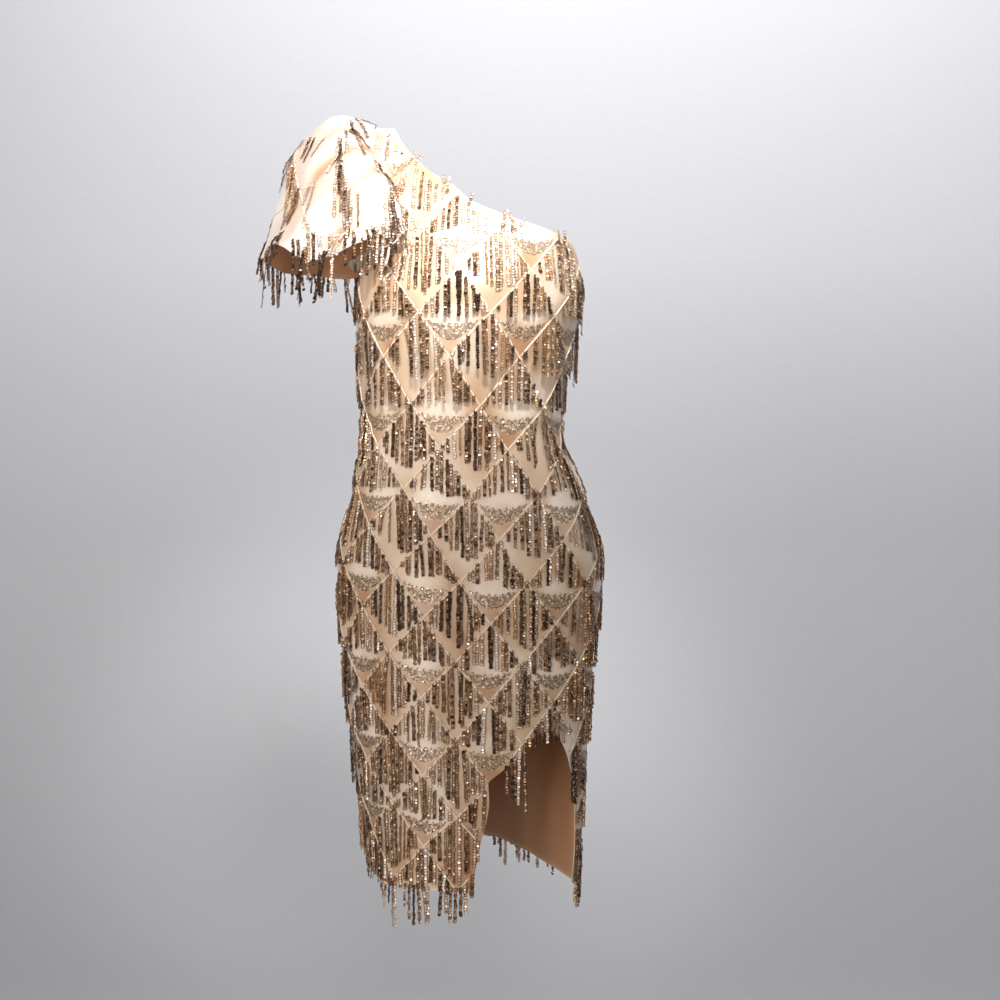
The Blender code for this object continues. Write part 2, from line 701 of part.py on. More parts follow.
def build_sleeve_fringe(material):
    for number, (top, reach) in enumerate(SLEEVE_ROWS):
        count = round(2 * reach / CELL_WIDTH)
        places = []
        locks = []
        for i in range(count):
            centre = (i + 0.5 - count / 2) * CELL_WIDTH
            offsets = [CORNER_INSET - CELL_WIDTH / 2, 0.0, CELL_WIDTH / 2 - CORNER_INSET]
            if not places:
                places.append((centre - CELL_WIDTH / 2, zigzag(top, CELL_WIDTH / 2)))
            first = len(places)
            for offset in offsets + [CELL_WIDTH / 2]:
                places.append((centre + offset, zigzag(top, offset)))
            locks.append((first, centre, top - ROW_PITCH * BLUNT_DROP, BLUNT_TIP))
        build_fringe("fringe_sleeve_%02d" % (number + 1), places, locks, on_sleeve, material)
    count = SLEEVE_HEM_LOCKS
    level = -SLEEVE_LENGTH + HEM_TAPE_TOP
    reach = SLEEVE_HEM_SHARE * SLEEVE_GIRTH
    places = [(lerp(-reach, reach, i / (2 * count)), level) for i in range(2 * count + 1)]
    locks = []
    for i in range(count):
        length = SLEEVE_LOCK_LENGTHS[i % len(SLEEVE_LOCK_LENGTHS)]
        locks.append((2 * i, places[2 * i + 1][0], level - length, HEM_TIP))
    build_fringe("fringe_sleeve_hem", parted(places), shifted(locks), on_sleeve, material)


def zigzag(top, offset):
    return top - min(abs(offset) / (CELL_WIDTH / 2) * ROW_PITCH, ROW_PITCH - ROW_PARTING)


# ---------------------------------------------------------------- scene
def make_material(name, colour, roughness, metallic):
    material = bpy.data.materials.new(name)
    material.use_nodes = True
    shader = material.node_tree.nodes["Principled BSDF"]
    shader.inputs["Base Color"].default_value = colour
    shader.inputs["Roughness"].default_value = roughness
    shader.inputs["Metallic"].default_value = metallic
    material.diffuse_color = colour
    return material


def main():
    for thing in list(bpy.data.objects):
        bpy.data.objects.remove(thing)
    build_panel("front", make_material("front satin", SATIN, 0.45, 0.0))
    build_panel("back", make_material("back satin", SATIN, 0.45, 0.0))
    build_sleeve(make_material("sleeve satin", SATIN, 0.45, 0.0))
    sequins = make_material("sequin fringe", ROSE_GOLD, 0.3, 0.6)
    for side in ("front", "back"):
        for row in ROWS:
            build_body_row(side, row, sequins)
        build_neck_fringe(side, sequins)
        build_hem_fringe(side, sequins)
    build_sleeve_fringe(sequins)


main()
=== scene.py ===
"""Looks of a one-shoulder sheath dress with hanging sequin fringe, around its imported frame.

Metres, +Z up, the front faces -Y. The surfaces are those of the frame's solids, so
each piece here lies on the form of the solids that it replaces.
"""
import math

import bpy
import numpy as np
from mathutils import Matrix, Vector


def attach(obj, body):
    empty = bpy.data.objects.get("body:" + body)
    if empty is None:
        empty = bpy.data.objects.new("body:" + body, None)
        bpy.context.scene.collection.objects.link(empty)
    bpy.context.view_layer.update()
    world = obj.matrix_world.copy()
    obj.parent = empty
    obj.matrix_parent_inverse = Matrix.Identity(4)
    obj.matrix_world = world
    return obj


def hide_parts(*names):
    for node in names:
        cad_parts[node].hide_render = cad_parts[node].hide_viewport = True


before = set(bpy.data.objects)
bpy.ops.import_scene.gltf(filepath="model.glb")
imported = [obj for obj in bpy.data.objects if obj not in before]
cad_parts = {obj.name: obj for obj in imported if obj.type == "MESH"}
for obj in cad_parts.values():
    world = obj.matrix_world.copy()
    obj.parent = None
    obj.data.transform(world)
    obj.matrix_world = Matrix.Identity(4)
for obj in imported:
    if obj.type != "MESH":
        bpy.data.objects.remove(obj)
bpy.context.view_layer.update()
NODES = sorted(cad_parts)

# ---------------------------------------------------------------- form of the dress
WALL = 0.0015             # from the inner side of the body cloth to its outer side
SLEEVE_WALL = 0.0012
CLOTH = 0.0011            # thickness of the shells built here
SEAM_GAP = 0.0003
SQUARENESS = 2.3          # power of the closed section curve, 2 is an ellipse
HEM_LEVEL = -0.868

# Height of the hem round each panel, from the sleeve's side seam to the other.
HEM = (
    # turn, front, back
    (0.00, -0.852, -0.852),
    (0.18, -0.860, -0.849),
    (0.36, -0.868, -0.845),
    (0.52, -0.868, -0.844),
    (0.64, -0.868, -0.860),
    (0.76, -0.873, -0.876),
    (0.88, -0.882, -0.884),
    (1.00, -0.885, -0.885),
)
SECTIONS = (
    # height, centre, half_width, front, back
    (0.000, 0.094, 0.160, 0.0004, 0.0004),
    (-0.003, 0.094, 0.159, 0.012, 0.012),
    (-0.010, 0.094, 0.157, 0.026, 0.025),
    (-0.030, 0.095, 0.150, 0.048, 0.048),
    (-0.060, 0.097, 0.142, 0.072, 0.072),
    (-0.100, 0.100, 0.134, 0.096, 0.090),
    (-0.150, 0.101, 0.125, 0.114, 0.098),
    (-0.200, 0.0985, 0.130, 0.124, 0.095),
    (-0.257, 0.093, 0.123, 0.112, 0.084),
    (-0.345, 0.089, 0.116, 0.095, 0.075),
    (-0.430, 0.098, 0.135, 0.100, 0.105),
    (-0.503, 0.0995, 0.153, 0.099, 0.125),
    (-0.608, 0.0975, 0.145, 0.101, 0.118),
    (-0.714, 0.0995, 0.1345, 0.101, 0.106),
    (-0.784, 0.102, 0.1265, 0.100, 0.100),
    (-0.870, 0.105, 0.120, 0.100, 0.098),
    (-0.940, 0.106, 0.116, 0.100, 0.096),
)
UNDERARM_EDGE = ((-0.0235, -0.152), (0.003, -0.149), (0.0248, -0.1416))
ARMHOLE_EDGE = (
    (0.0248, -0.1416), (0.0317, -0.1331), (0.0282, -0.1192), (0.0223, -0.1016),
    (0.0138, -0.0806), (0.0037, -0.0574), (-0.0091, -0.0306), (-0.0117, 0.0),
)
NECK_EDGE = (
    (0.0110, 0.0), (0.0165, -0.0120), (0.0272, -0.0306), (0.0552, -0.0625),
    (0.0819, -0.0805), (0.1012, -0.0990),
    (0.1457, -0.1183), (0.1906, -0.1315), (0.2116, -0.1397),
)
SIDE_EDGE = ((0.2116, -0.1397), (0.2205, -0.1520), (0.2258, -0.1670), (0.2300, -0.1837))
SLIT = (
    # height, left, right
    (-0.692, 0.1835, 0.1905),
    (-0.696, 0.1745, 0.1965),
    (-0.705, 0.1655, 0.2030),
    (-0.720, 0.1545, 0.2095),
    (-0.735, 0.1365, 0.2135),
    (-0.749, 0.1215, 0.2165),
    (-0.768, 0.1225, 0.2187),
    (-0.790, 0.1195, 0.2195),
    (-0.818, 0.1123, 0.2195),
    (-0.868, 0.1033, 0.2160),
)

SLEEVE_HEM_REACH = 0.103
SLEEVE_HEM_DEPTH = 0.104
SLEEVE_HEM_CENTRE = -0.038
SLEEVE_HEM_LEVEL = -0.157
SLEEVE_HEM_TILT = 0.007
SLEEVE_HEM_TURN = 125.0
SLEEVE_LAP = 0.0020
UNDERARM_LAP = 0.0025
UNDERARM_DROP = 0.008
UNDERARM_OUT = 0.012
GATHERS = 9
GATHER_DEPTH = 0.0030     # of the solid's gathers
GATHER_SHARE = 0.45       # how much of them stays here, where the folds are added
HEM_WAVES = 6
HEM_WAVE_DEPTH = 0.0055
SLEEVE_CROWN = (
    # along, out
    (0.000, 0.000), (0.028, 0.092), (0.060, 0.170), (0.150, 0.237), (0.265, 0.254),
    (0.365, 0.250), (0.480, 0.227), (0.580, 0.175), (0.690, 0.122), (0.780, 0.086),
    (0.880, 0.043), (1.000, 0.000),
)
# How far the hem rises or dips, by degrees from its tip round the front.
SLEEVE_HEM_DIP = (
    # angle, rise
    (0.0, 0.003), (20.0, 0.006), (36.0, 0.008), (50.0, -0.001), (64.0, -0.014),
    (80.0, -0.012), (94.0, -0.005), (112.0, 0.004), (125.0, 0.008),
)
SLEEVE_GIRTH = 0.44       # round the sleeve, for laying out its fringe
SLEEVE_LENGTH = 0.25      # down the sleeve's top line

# ---------------------------------------------------------------- fringe lattice
CELL_WIDTH = 0.079        # a diamond of the lattice, side corner to side corner
ROW_PITCH = 0.0465        # half the height of a diamond
FIRST_ROW = -0.1786       # height of the top corners in row 0
ROWS = range(-5, 16)
BLUNT_ROWS = range(-4, 16, 2)  # their tufts are cut straight, over a crescent
COLUMNS = range(-6, 7)
# How the worn front bends the even lattice.
LATTICE_WARP = (
    # height, shift across, stretch across, rise at the left, middle and right
    (0.0, 0.034, 1.02, 0.0, 0.0, 0.0),
    (-0.180, 0.030, 1.02, 0.0, 0.0, 0.0),
    (-0.272, 0.026, 1.00, -0.001, -0.002, -0.002),
    (-0.320, 0.023, 0.985, -0.007, -0.010, -0.011),
    (-0.380, 0.0105, 0.96, -0.009, -0.014, -0.013),
    (-0.425, 0.002, 0.955, -0.009, -0.019, -0.018),
    (-0.500, -0.009, 0.955, -0.008, -0.021, -0.022),
    (-0.600, -0.013, 0.95, -0.006, -0.017, -0.019),
    (-0.686, -0.014, 0.94, -0.002, -0.011, -0.015),
    (-0.735, -0.0145, 0.94, 0.003, -0.009, -0.018),
    (-0.779, -0.0155, 0.93, 0.009, -0.004, -0.015),
    (-0.827, -0.017, 0.93, 0.016, 0.005, -0.006),
    (-0.950, -0.020, 0.93, 0.022, 0.012, 0.0),
)
WARP_REACH = 0.08         # the left and right of the table, from the middle line
SLEEVE_ROW_TOPS = (-0.0195, -0.066, -0.1125, -0.159)


# ---------------------------------------------------------------- curves
UPRIGHT = np.array([0.0, 0.0, 1.0])
LEVEL_PART = np.array([1.0, 1.0, 0.0])


def smooth_row(table, key):
    """The table's row at a key, on smooth curves through its rows."""
    rows = sorted(table)
    if key <= rows[0][0]:
        return rows[0][1:]
    if key >= rows[-1][0]:
        return rows[-1][1:]
    upper = next(i for i, row in enumerate(rows) if row[0] >= key)
    low, high = rows[upper - 1], rows[upper]
    before = rows[max(upper - 2, 0)]
    after = rows[min(upper + 1, len(rows) - 1)]
    span = high[0] - low[0]
    t = (key - low[0]) / span
    values = []
    for k in range(1, len(low)):
        rise = (high[k] - low[k]) / span
        slope_low = limited_slope(before, low, rise, k)
        slope_high = limited_slope(high, after, rise, k)
        values.append(
            low[k] * (1 + 2 * t) * (1 - t) ** 2 + high[k] * t * t * (3 - 2 * t)
            + span * (slope_low * t * (1 - t) ** 2 - slope_high * t * t * (1 - t))
        )
    return tuple(values)


def limited_slope(first, second, rise, k):
    """Slope at the joint of two stretches, flat at a peak so that nothing overshoots."""
    if second[0] == first[0]:
        return rise
    other = (second[k] - first[k]) / (second[0] - first[0])
    if other * rise <= 0:
        return 0.0
    return 2 * other * rise / (other + rise)


def sampled(table, keys):
    """The table's columns, each as an array of its values at the keys."""
    return np.array([smooth_row(table, key) for key in keys]).T


def read_off(columns, keys, places):
    """Values of sampled columns at places between their keys."""
    return [np.interp(places, keys, column) for column in columns]


def ease(t):
    t = np.clip(t, 0.0, 1.0)
    return t * t * (3 - 2 * t)


def bell(t):
    """1 at 0, falling smoothly to 0 at -1 and 1."""
    return (1 - np.clip(np.abs(t), 0, 1) ** 2) ** 2


def unit(vectors):
    return vectors / np.linalg.norm(vectors, axis=-1, keepdims=True)


def dot(a, b):
    return (a * b).sum(-1)


# ---------------------------------------------------------------- body surface
DEEPEST = -0.98           # the curves of the form reach down to here
LAST_LEVEL = -0.975       # strands and sequins are placed by the form from here
TOP_LEVEL = -0.002        # up to here
SLIT_TOP = SLIT[0][0]
LEVELS = np.linspace(DEEPEST, 0.0, 3921)
SECTION_CURVES = sampled(SECTIONS, LEVELS)
WARP_CURVES = sampled(LATTICE_WARP, LEVELS)
SLIT_CURVES = sampled(SLIT, LEVELS)


def body_point(turn, height):
    """Inner side of the cloth. Turn 0 to 1 is the front, 1 to 2 the back."""
    turn, height = np.broadcast_arrays(np.asarray(turn, float), np.asarray(height, float))
    centre, half_width, front, back = read_off(SECTION_CURVES, LEVELS, height)
    angle = np.pi * turn
    across, ahead = -np.cos(angle), np.sin(angle)
    power = 2.0 / SQUARENESS
    depth = np.where(ahead >= 0, front, back)
    x = centre + half_width * np.sign(across) * np.abs(across) ** power
    y = -depth * np.sign(ahead) * np.abs(ahead) ** power
    return np.stack([x, y, height], -1)


def body_normal(turn, height):
    step = 0.004
    along = body_point(turn + step, height) - body_point(turn - step, height)
    up = body_point(turn, np.minimum(height + step, 0.0)) - body_point(turn, height - step)
    return unit(np.cross(along, up))


def turn_at(x, height):
    """The turn of the front point that lies at x."""
    centre, half_width = read_off(SECTION_CURVES[:2], LEVELS, height)
    share = np.clip((x - centre) / half_width, -1.0, 1.0)
    return np.arccos(-np.sign(share) * np.abs(share) ** (SQUARENESS / 2.0)) / np.pi


def mirrored(turn, side):
    return turn if side == "front" else 2.0 - turn


HEM_TURNS = np.linspace(0.0, 1.0, 101)
HEM_CURVES = sampled(HEM, HEM_TURNS)


def hem_height(side, turn):
    """Height of a panel's hem; turn is 0 to 1 on the front and on the back."""
    return np.interp(turn, HEM_TURNS, HEM_CURVES[0 if side == "front" else 1])


def edge_curve(points):
    """X of an edge at even heights, as (heights, x), smooth through its points."""
    table = [(z, x) for x, z in points]
    heights = np.linspace(min(table)[0], max(table)[0], 200)
    return heights, sampled(table, heights)[0]


LOW_EDGE = edge_curve(UNDERARM_EDGE + ARMHOLE_EDGE[1:])
HIGH_EDGE = edge_curve(NECK_EDGE + SIDE_EDGE[1:])


def neck_height(x):
    """Height of the neckline, and of the far side edge beyond it."""
    order = np.argsort(HIGH_EDGE[1])
    return np.interp(x, HIGH_EDGE[1][order], HIGH_EDGE[0][order])


def low_turn(height):
    """Where the cloth begins at a height: the armhole, the underarm or the side seam."""
    edge = turn_at(np.interp(height, *LOW_EDGE), height)
    return np.where(height > LOW_EDGE[0][0], edge, 0.0)


def high_turn(height):
    """Where the cloth ends at a height: the neckline or the far side seam."""
    edge = turn_at(np.interp(height, *HIGH_EDGE), height)
    return np.where(height > HIGH_EDGE[0][0], edge, 1.0)


def slit_turns(height):
    """The left and right edge of the slit."""
    height = np.clip(height, SLIT[-1][0], SLIT_TOP)
    left, right = read_off(SLIT_CURVES, LEVELS, height)
    return turn_at(left, height), turn_at(right, height)


# Soft creases of the body cloth. A ridge is positive, a trough negative.
BODY_CREASES = (
    # turn, height, heading from upright in degrees, length, width, depth
    # chest and shoulder of the front
    (0.14, -0.075, 16, 0.070, 0.0070, -0.0011),
    (0.20, -0.095, 34, 0.085, 0.0080, 0.0010),
    (0.10, -0.150, 62, 0.060, 0.0070, -0.0013),
    (0.15, -0.176, 74, 0.085, 0.0085, 0.0010),
    (0.33, -0.120, 52, 0.070, 0.0090, 0.0008),
    (0.86, -0.176, -72, 0.055, 0.0070, -0.0011),
    (0.80, -0.205, -64, 0.080, 0.0090, 0.0010),
    # pulls across the waist of the front
    (0.07, -0.330, 84, 0.075, 0.0065, -0.0020),
    (0.09, -0.352, 96, 0.095, 0.0070, -0.0024),
    (0.06, -0.377, 80, 0.070, 0.0060, -0.0017),
    (0.93, -0.322, -86, 0.080, 0.0065, -0.0021),
    (0.91, -0.349, -95, 0.100, 0.0075, -0.0025),
    (0.94, -0.372, -81, 0.065, 0.0060, -0.0016),
    (0.45, -0.338, 88, 0.120, 0.0100, -0.0009),
    (0.62, -0.366, -84, 0.110, 0.0090, -0.0010),
    # from the hips down to the slit of the front
    (0.16, -0.560, 22, 0.170, 0.0120, -0.0016),
    (0.33, -0.655, 15, 0.210, 0.0130, 0.0017),
    (0.47, -0.745, 6, 0.230, 0.0140, -0.0022),
    (0.24, -0.765, 4, 0.190, 0.0120, 0.0020),
    (0.12, -0.790, -3, 0.150, 0.0110, -0.0017),
    (0.55, -0.640, 24, 0.150, 0.0110, -0.0014),
    (0.63, -0.700, 30, 0.120, 0.0090, 0.0014),
    (0.88, -0.640, -8, 0.200, 0.0110, -0.0015),
    (0.95, -0.770, 3, 0.150, 0.0100, 0.0016),
    # back
    (1.17, -0.120, -30, 0.080, 0.0090, -0.0010),
    (1.27, -0.175, -66, 0.075, 0.0080, 0.0011),
    (1.86, -0.085, -18, 0.075, 0.0080, -0.0011),
    (1.90, -0.165, -68, 0.065, 0.0070, -0.0013),
    (1.08, -0.336, 85, 0.090, 0.0070, -0.0023),
    (1.10, -0.362, 97, 0.105, 0.0075, -0.0026),
    (1.07, -0.388, 80, 0.070, 0.0060, -0.0017),
    (1.92, -0.332, -84, 0.085, 0.0070, -0.0021),
    (1.90, -0.358, -96, 0.105, 0.0075, -0.0026),
    (1.94, -0.384, -80, 0.070, 0.0060, -0.0016),
    (1.38, -0.352, 87, 0.110, 0.0100, -0.0012),
    (1.63, -0.340, -86, 0.120, 0.0100, -0.0011),
    (1.50, -0.545, 82, 0.130, 0.0120, -0.0012),
    (1.22, -0.700, 5, 0.230, 0.0130, -0.0024),
    (1.33, -0.770, -3, 0.210, 0.0140, 0.0026),
    (1.42, -0.730, 4, 0.250, 0.0130, -0.0026),
    (1.53, -0.785, -2, 0.200, 0.0140, 0.0024),
    (1.62, -0.745, 3, 0.230, 0.0130, -0.0025),
    (1.74, -0.775, -4, 0.190, 0.0130, 0.0022),
    (1.84, -0.720, 2, 0.210, 0.0120, -0.0018),
)
SIDE_LENGTH = 0.39        # round half the body, for placing creases by turn
BAND_WIDTH = 0.0075       # turned hem along the neckline and the armhole
BAND_RISE = 0.0004
BAND_STITCH = 0.0003      # depth of its sewn line
BAND_LOWEST = -0.24       # the neckline and the armhole lie above this height


def body_crease(turn, height):
    """How far the cloth's creases move it out."""
    total = np.zeros(np.broadcast(turn, height).shape)
    for place, level, heading, length, width, depth in BODY_CREASES:
        across = ((turn - place + 1.0) % 2.0 - 1.0) * SIDE_LENGTH
        up = height - level
        angle = math.radians(heading)
        along = up * math.cos(angle) - across * math.sin(angle)
        aside = up * math.sin(angle) + across * math.cos(angle)
        bend = 0.18 * along * along / length
        total = total + depth * bell(along / length) * np.exp(-((aside - bend) / width) ** 2)
    return total


def cloth_point(turn, height, lift):
    """A place on the creased body cloth, lifted off its outer side, and its way out."""
    normal = body_normal(turn, height)
    out = WALL + lift + body_crease(turn, height)
    return body_point(turn, height) + normal * out[..., None], normal


# ---------------------------------------------------------------- sleeve surface
def spread(points, count):
    """Points at even steps along an open run of points."""
    points = np.array(points, float)
    lengths = np.concatenate([[0.0], np.cumsum(np.linalg.norm(np.diff(points, axis=0), axis=1))])
    want = np.linspace(0.0, lengths[-1], count + 1)
    return np.stack(read_off(points.T, lengths, want), -1)


ARMHOLE_POINTS = spread(ARMHOLE_EDGE[::-1] + UNDERARM_EDGE[::-1][1:], 96)
ARMHOLE_JOIN = 0.38       # share of the loop where the armhole turns under the arm
CROWN_STEPS = np.linspace(0.0, len(SLEEVE_CROWN) - 1.0, 400)
DIP_ANGLES = np.linspace(0.0, SLEEVE_HEM_TURN, 126)
DIP_CURVE = sampled(SLEEVE_HEM_DIP, DIP_ANGLES)[0]
CROWN_CURVES = sampled([(i,) + row for i, row in enumerate(SLEEVE_CROWN)], CROWN_STEPS)


def armhole_point(turn):
    """Outer side of the cloth at the armhole, and its outward direction.

    Turn 0 is the shoulder, 0.25 the front, 0.5 under the arm, 0.75 the back.
    """
    turn = np.mod(turn, 1.0)
    near = np.minimum(turn, 1 - turn)
    steps = np.arange(len(ARMHOLE_POINTS))
    place = 2 * near * (len(ARMHOLE_POINTS) - 1)
    x, height = read_off(ARMHOLE_POINTS.T, steps, place)
    body_turn = turn_at(x, height) * ease((0.5 - near) / 0.04)
    body_turn = np.where(turn <= 0.5, body_turn, 2.0 - body_turn)
    normal = body_normal(body_turn, height)
    lap = WALL + SLEEVE_LAP + UNDERARM_LAP * ease((near - 0.2) / 0.15)
    return body_point(body_turn, height) + normal * lap[..., None], normal


def sleeve_hem_point(turn):
    """The hem: a wide curve outside, and close along the body under the arm."""
    share = np.minimum(np.abs(turn) / ARMHOLE_JOIN, 1.0)
    angle = np.sign(turn) * math.radians(SLEEVE_HEM_TURN) * share
    outer = np.stack([
        SLEEVE_HEM_CENTRE - SLEEVE_HEM_REACH * np.cos(angle),
        -SLEEVE_HEM_DEPTH * np.sin(angle),
        SLEEVE_HEM_LEVEL + SLEEVE_HEM_TILT * np.sin(angle)
        + np.interp(np.degrees(angle), DIP_ANGLES, DIP_CURVE),
    ], -1)
    seam, normal = armhole_point(turn)
    level = unit(normal * LEVEL_PART)
    under = seam + level * UNDERARM_OUT - np.array([0, 0, UNDERARM_DROP])
    blend = ease((np.abs(turn) - 0.25) / (ARMHOLE_JOIN - 0.25))[..., None]
    return outer * (1 - blend) + under * blend


# Folds of the sleeve: those from its gathered head, then those up from its hem.
SLEEVE_FOLDS = (
    # turn, from, to, width, depth; shares of the way from seam to hem
    (-0.335, 0.02, 0.45, 0.0085, 0.0016), (-0.292, 0.00, 0.62, 0.0095, -0.0026),
    (-0.255, 0.01, 0.50, 0.0075, 0.0020), (-0.221, 0.00, 0.85, 0.0090, -0.0030),
    (-0.184, 0.01, 0.40, 0.0070, 0.0018), (-0.158, 0.00, 0.66, 0.0085, -0.0027),
    (-0.121, 0.02, 0.92, 0.0095, 0.0026), (-0.090, 0.00, 0.48, 0.0070, -0.0022),
    (-0.062, 0.00, 0.74, 0.0080, -0.0028), (-0.031, 0.01, 0.44, 0.0065, 0.0019),
    (-0.004, 0.00, 0.58, 0.0080, -0.0026), (0.027, 0.02, 0.80, 0.0085, 0.0024),
    (0.055, 0.00, 0.52, 0.0070, -0.0025), (0.083, 0.01, 0.68, 0.0080, 0.0022),
    (0.112, 0.00, 0.95, 0.0090, -0.0032), (0.146, 0.01, 0.46, 0.0070, 0.0018),
    (0.173, 0.00, 0.72, 0.0085, -0.0029), (0.209, 0.01, 0.60, 0.0080, 0.0023),
    (0.243, 0.00, 0.88, 0.0095, -0.0031), (0.279, 0.02, 0.50, 0.0080, 0.0019),
    (0.318, 0.00, 0.56, 0.0085, -0.0024),
    (-0.200, 0.50, 1.30, 0.0150, 0.0034), (-0.085, 0.55, 1.30, 0.0140, -0.0030),
    (0.010, 0.45, 1.30, 0.0150, 0.0026), (0.078, 0.60, 1.30, 0.0120, -0.0028),
    (0.160, 0.50, 1.30, 0.0150, 0.0036), (0.225, 0.62, 1.30, 0.0130, -0.0026),
)
SLEEVE_FOLD_DEPTH = 1.5   # deepens all of them
SLEEVE_FOLD_WIDTH = 1.25  # and widens them


def sleeve_crease(turn, down):
    """How far the sleeve's folds move it out."""
    total = np.zeros(np.broadcast(turn, down).shape)
    for place, start, end, width, depth in SLEEVE_FOLDS:
        width = width * SLEEVE_FOLD_WIDTH
        aside = (turn - place + 0.5) % 1.0 - 0.5
        along = (down - start) / (end - start)
        fade = ease(along / 0.16) * ease((1 - along) / 0.75)
        total = total + depth * fade * np.exp(-(aside / width) ** 2)
    return SLEEVE_FOLD_DEPTH * total


def sleeve_point(turn, down):
    """A point of the folded sleeve; down runs from 0 at the seam to 1 at the hem."""
    turn, down = np.broadcast_arrays(np.asarray(turn, float), np.asarray(down, float))
    turn = (turn + 0.5) % 1.0 - 0.5
    seam, _ = armhole_point(turn)
    straight = sleeve_hem_point(turn) - seam
    place = down * (len(SLEEVE_CROWN) - 1)
    along, out = read_off(CROWN_CURVES, CROWN_STEPS, place)
    angle = 2 * np.pi * turn
    side = np.stack([-0.768 * np.cos(angle), -np.sin(angle), 0.64 * np.cos(angle)], -1)
    length = np.linalg.norm(straight, axis=-1)
    bulge = unit(side - straight * (dot(side, straight) / length ** 2)[..., None])
    fullness = 0.12 + 0.88 * ((1 + np.cos(angle)) / 2) ** 0.8
    point = seam + straight * along[..., None] + bulge * (length * out * fullness)[..., None]
    free = ease((0.36 - np.abs(turn)) / 0.10)
    gather = np.cos(2 * np.pi * GATHERS * turn) * (down / 0.1) * np.exp(1 - down / 0.1)
    wave = np.cos(2 * np.pi * HEM_WAVES * turn + 1.0) * down ** 2
    ripple = GATHER_SHARE * GATHER_DEPTH * gather + HEM_WAVE_DEPTH * wave
    ripple = ripple + sleeve_crease(turn, down)
    return point + side * (free * ripple)[..., None]


def sleeve_normal(turn, down):
    step = 0.006
    along = sleeve_point(turn + step, down) - sleeve_point(turn - step, down)
    high = sleeve_point(turn, np.maximum(down - step, 0.0))
    return unit(np.cross(along, high - sleeve_point(turn, np.minimum(down + step, 1.0))))


# ---------------------------------------------------------------- meshes
def make_mesh(name, points, faces, materials, smooth=True):
    """An object from an array of points and a list of arrays of faces with equal sides."""
    data = bpy.data.meshes.new(name)
    faces = [np.asarray(part) for part in faces if len(part)]
    loops = np.concatenate([part.ravel() for part in faces])
    sides = np.concatenate([np.full(len(part), part.shape[1]) for part in faces])
    data.vertices.add(len(points))
    data.vertices.foreach_set("co", np.asarray(points, np.float32).ravel())
    data.loops.add(len(loops))
    data.loops.foreach_set("vertex_index", loops.astype(np.int32))
    data.polygons.add(len(sides))
    starts = np.concatenate([[0], np.cumsum(sides)[:-1]])
    data.polygons.foreach_set("loop_start", starts.astype(np.int32))
    data.polygons.foreach_set("use_smooth", np.full(len(sides), smooth))
    data.update(calc_edges=True)
    data.validate()
    for material in materials:
        data.materials.append(material)
    piece = bpy.data.objects.new(name, data)
    bpy.context.scene.collection.objects.link(piece)
    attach(piece, "root")
    return piece


def point_value(piece, name, values):
    piece.data.attributes.new(name, "FLOAT", "POINT").data.foreach_set(
        "value", np.asarray(values, np.float32))


def grid_faces(rows, columns, closed=False):
    """Quads between the rows of a grid of points."""
    row, col = np.meshgrid(np.arange(rows - 1), np.arange(columns - (not closed)), indexing="ij")
    a = row * columns + col
    b = row * columns + (col + 1) % columns
    return np.stack([a, a + columns, b + columns, b], -1).reshape(-1, 4)


def shell_faces(sheet, count):
    """The faces of a sheet, those of its other side, and a rim between their borders."""
    edges = np.concatenate([np.stack([sheet[:, k], sheet[:, (k + 1) % 4]], -1) for k in range(4)])
    keys = np.sort(edges, axis=1)
    _, first, counts = np.unique(keys, axis=0, return_index=True, return_counts=True)
    border = edges[first[counts == 1]]
    rim = np.stack([border[:, 1], border[:, 0], border[:, 0] + count, border[:, 1] + count], -1)
    return [sheet, sheet[:, ::-1] + count, rim]


def cloth_shell(name, points, sheet, materials):
    """A thin shell; its points are those of its outer side, then those of its inner side.

    The inner side takes the second material.
    """
    faces = shell_faces(sheet, len(points) // 2)
    piece = make_mesh(name, points, faces, materials)
    inside = np.repeat([0, 1, 0], [len(part) for part in faces])
    piece.data.polygons.foreach_set("material_index", inside.astype(np.int32))
    piece.data.set_sharp_from_angle(angle=math.radians(60))
    piece.data.update()
    return piece


# ---------------------------------------------------------------- cloth pieces
PANEL_COLUMNS = 90
SLIT_COLUMN = 64          # the column of points where the slit parts the front
ROW_STEPS = (
    # down to this height, distance between rows
    (-0.012, 0.0010), (-0.138, 0.0022), (-0.154, 0.0010), (-0.190, 0.0020),
    (-0.692, 0.0045), (-0.760, 0.0022), (HEM_LEVEL, 0.0045),
)


def row_heights():
    heights = [0.0, -0.0004]
    for end, step in ROW_STEPS:
        count = math.ceil((heights[-1] - end) / step)
        heights += list(np.linspace(heights[-1], end, count + 1)[1:])
    return np.array(heights)


def panel_grid(side):
    """Turns and heights of a panel's points, row by row, the lowest along its hem."""
    share = np.linspace(0.0, 1.0, PANEL_COLUMNS + 1)
    turns, levels = [], []
    for z in row_heights():
        level = np.full(PANEL_COLUMNS + 1, z)
        if z < SLIT_TOP:
            down = (z - SLIT_TOP) / (HEM_LEVEL - SLIT_TOP)
            level = SLIT_TOP + down * (hem_height(side, share) - SLIT_TOP)
        low, high = low_turn(level), high_turn(level)
        turn = low + (high - low) * share
        levels.append(level)
        turns.append(turn)
    return np.array(turns), np.array(levels)


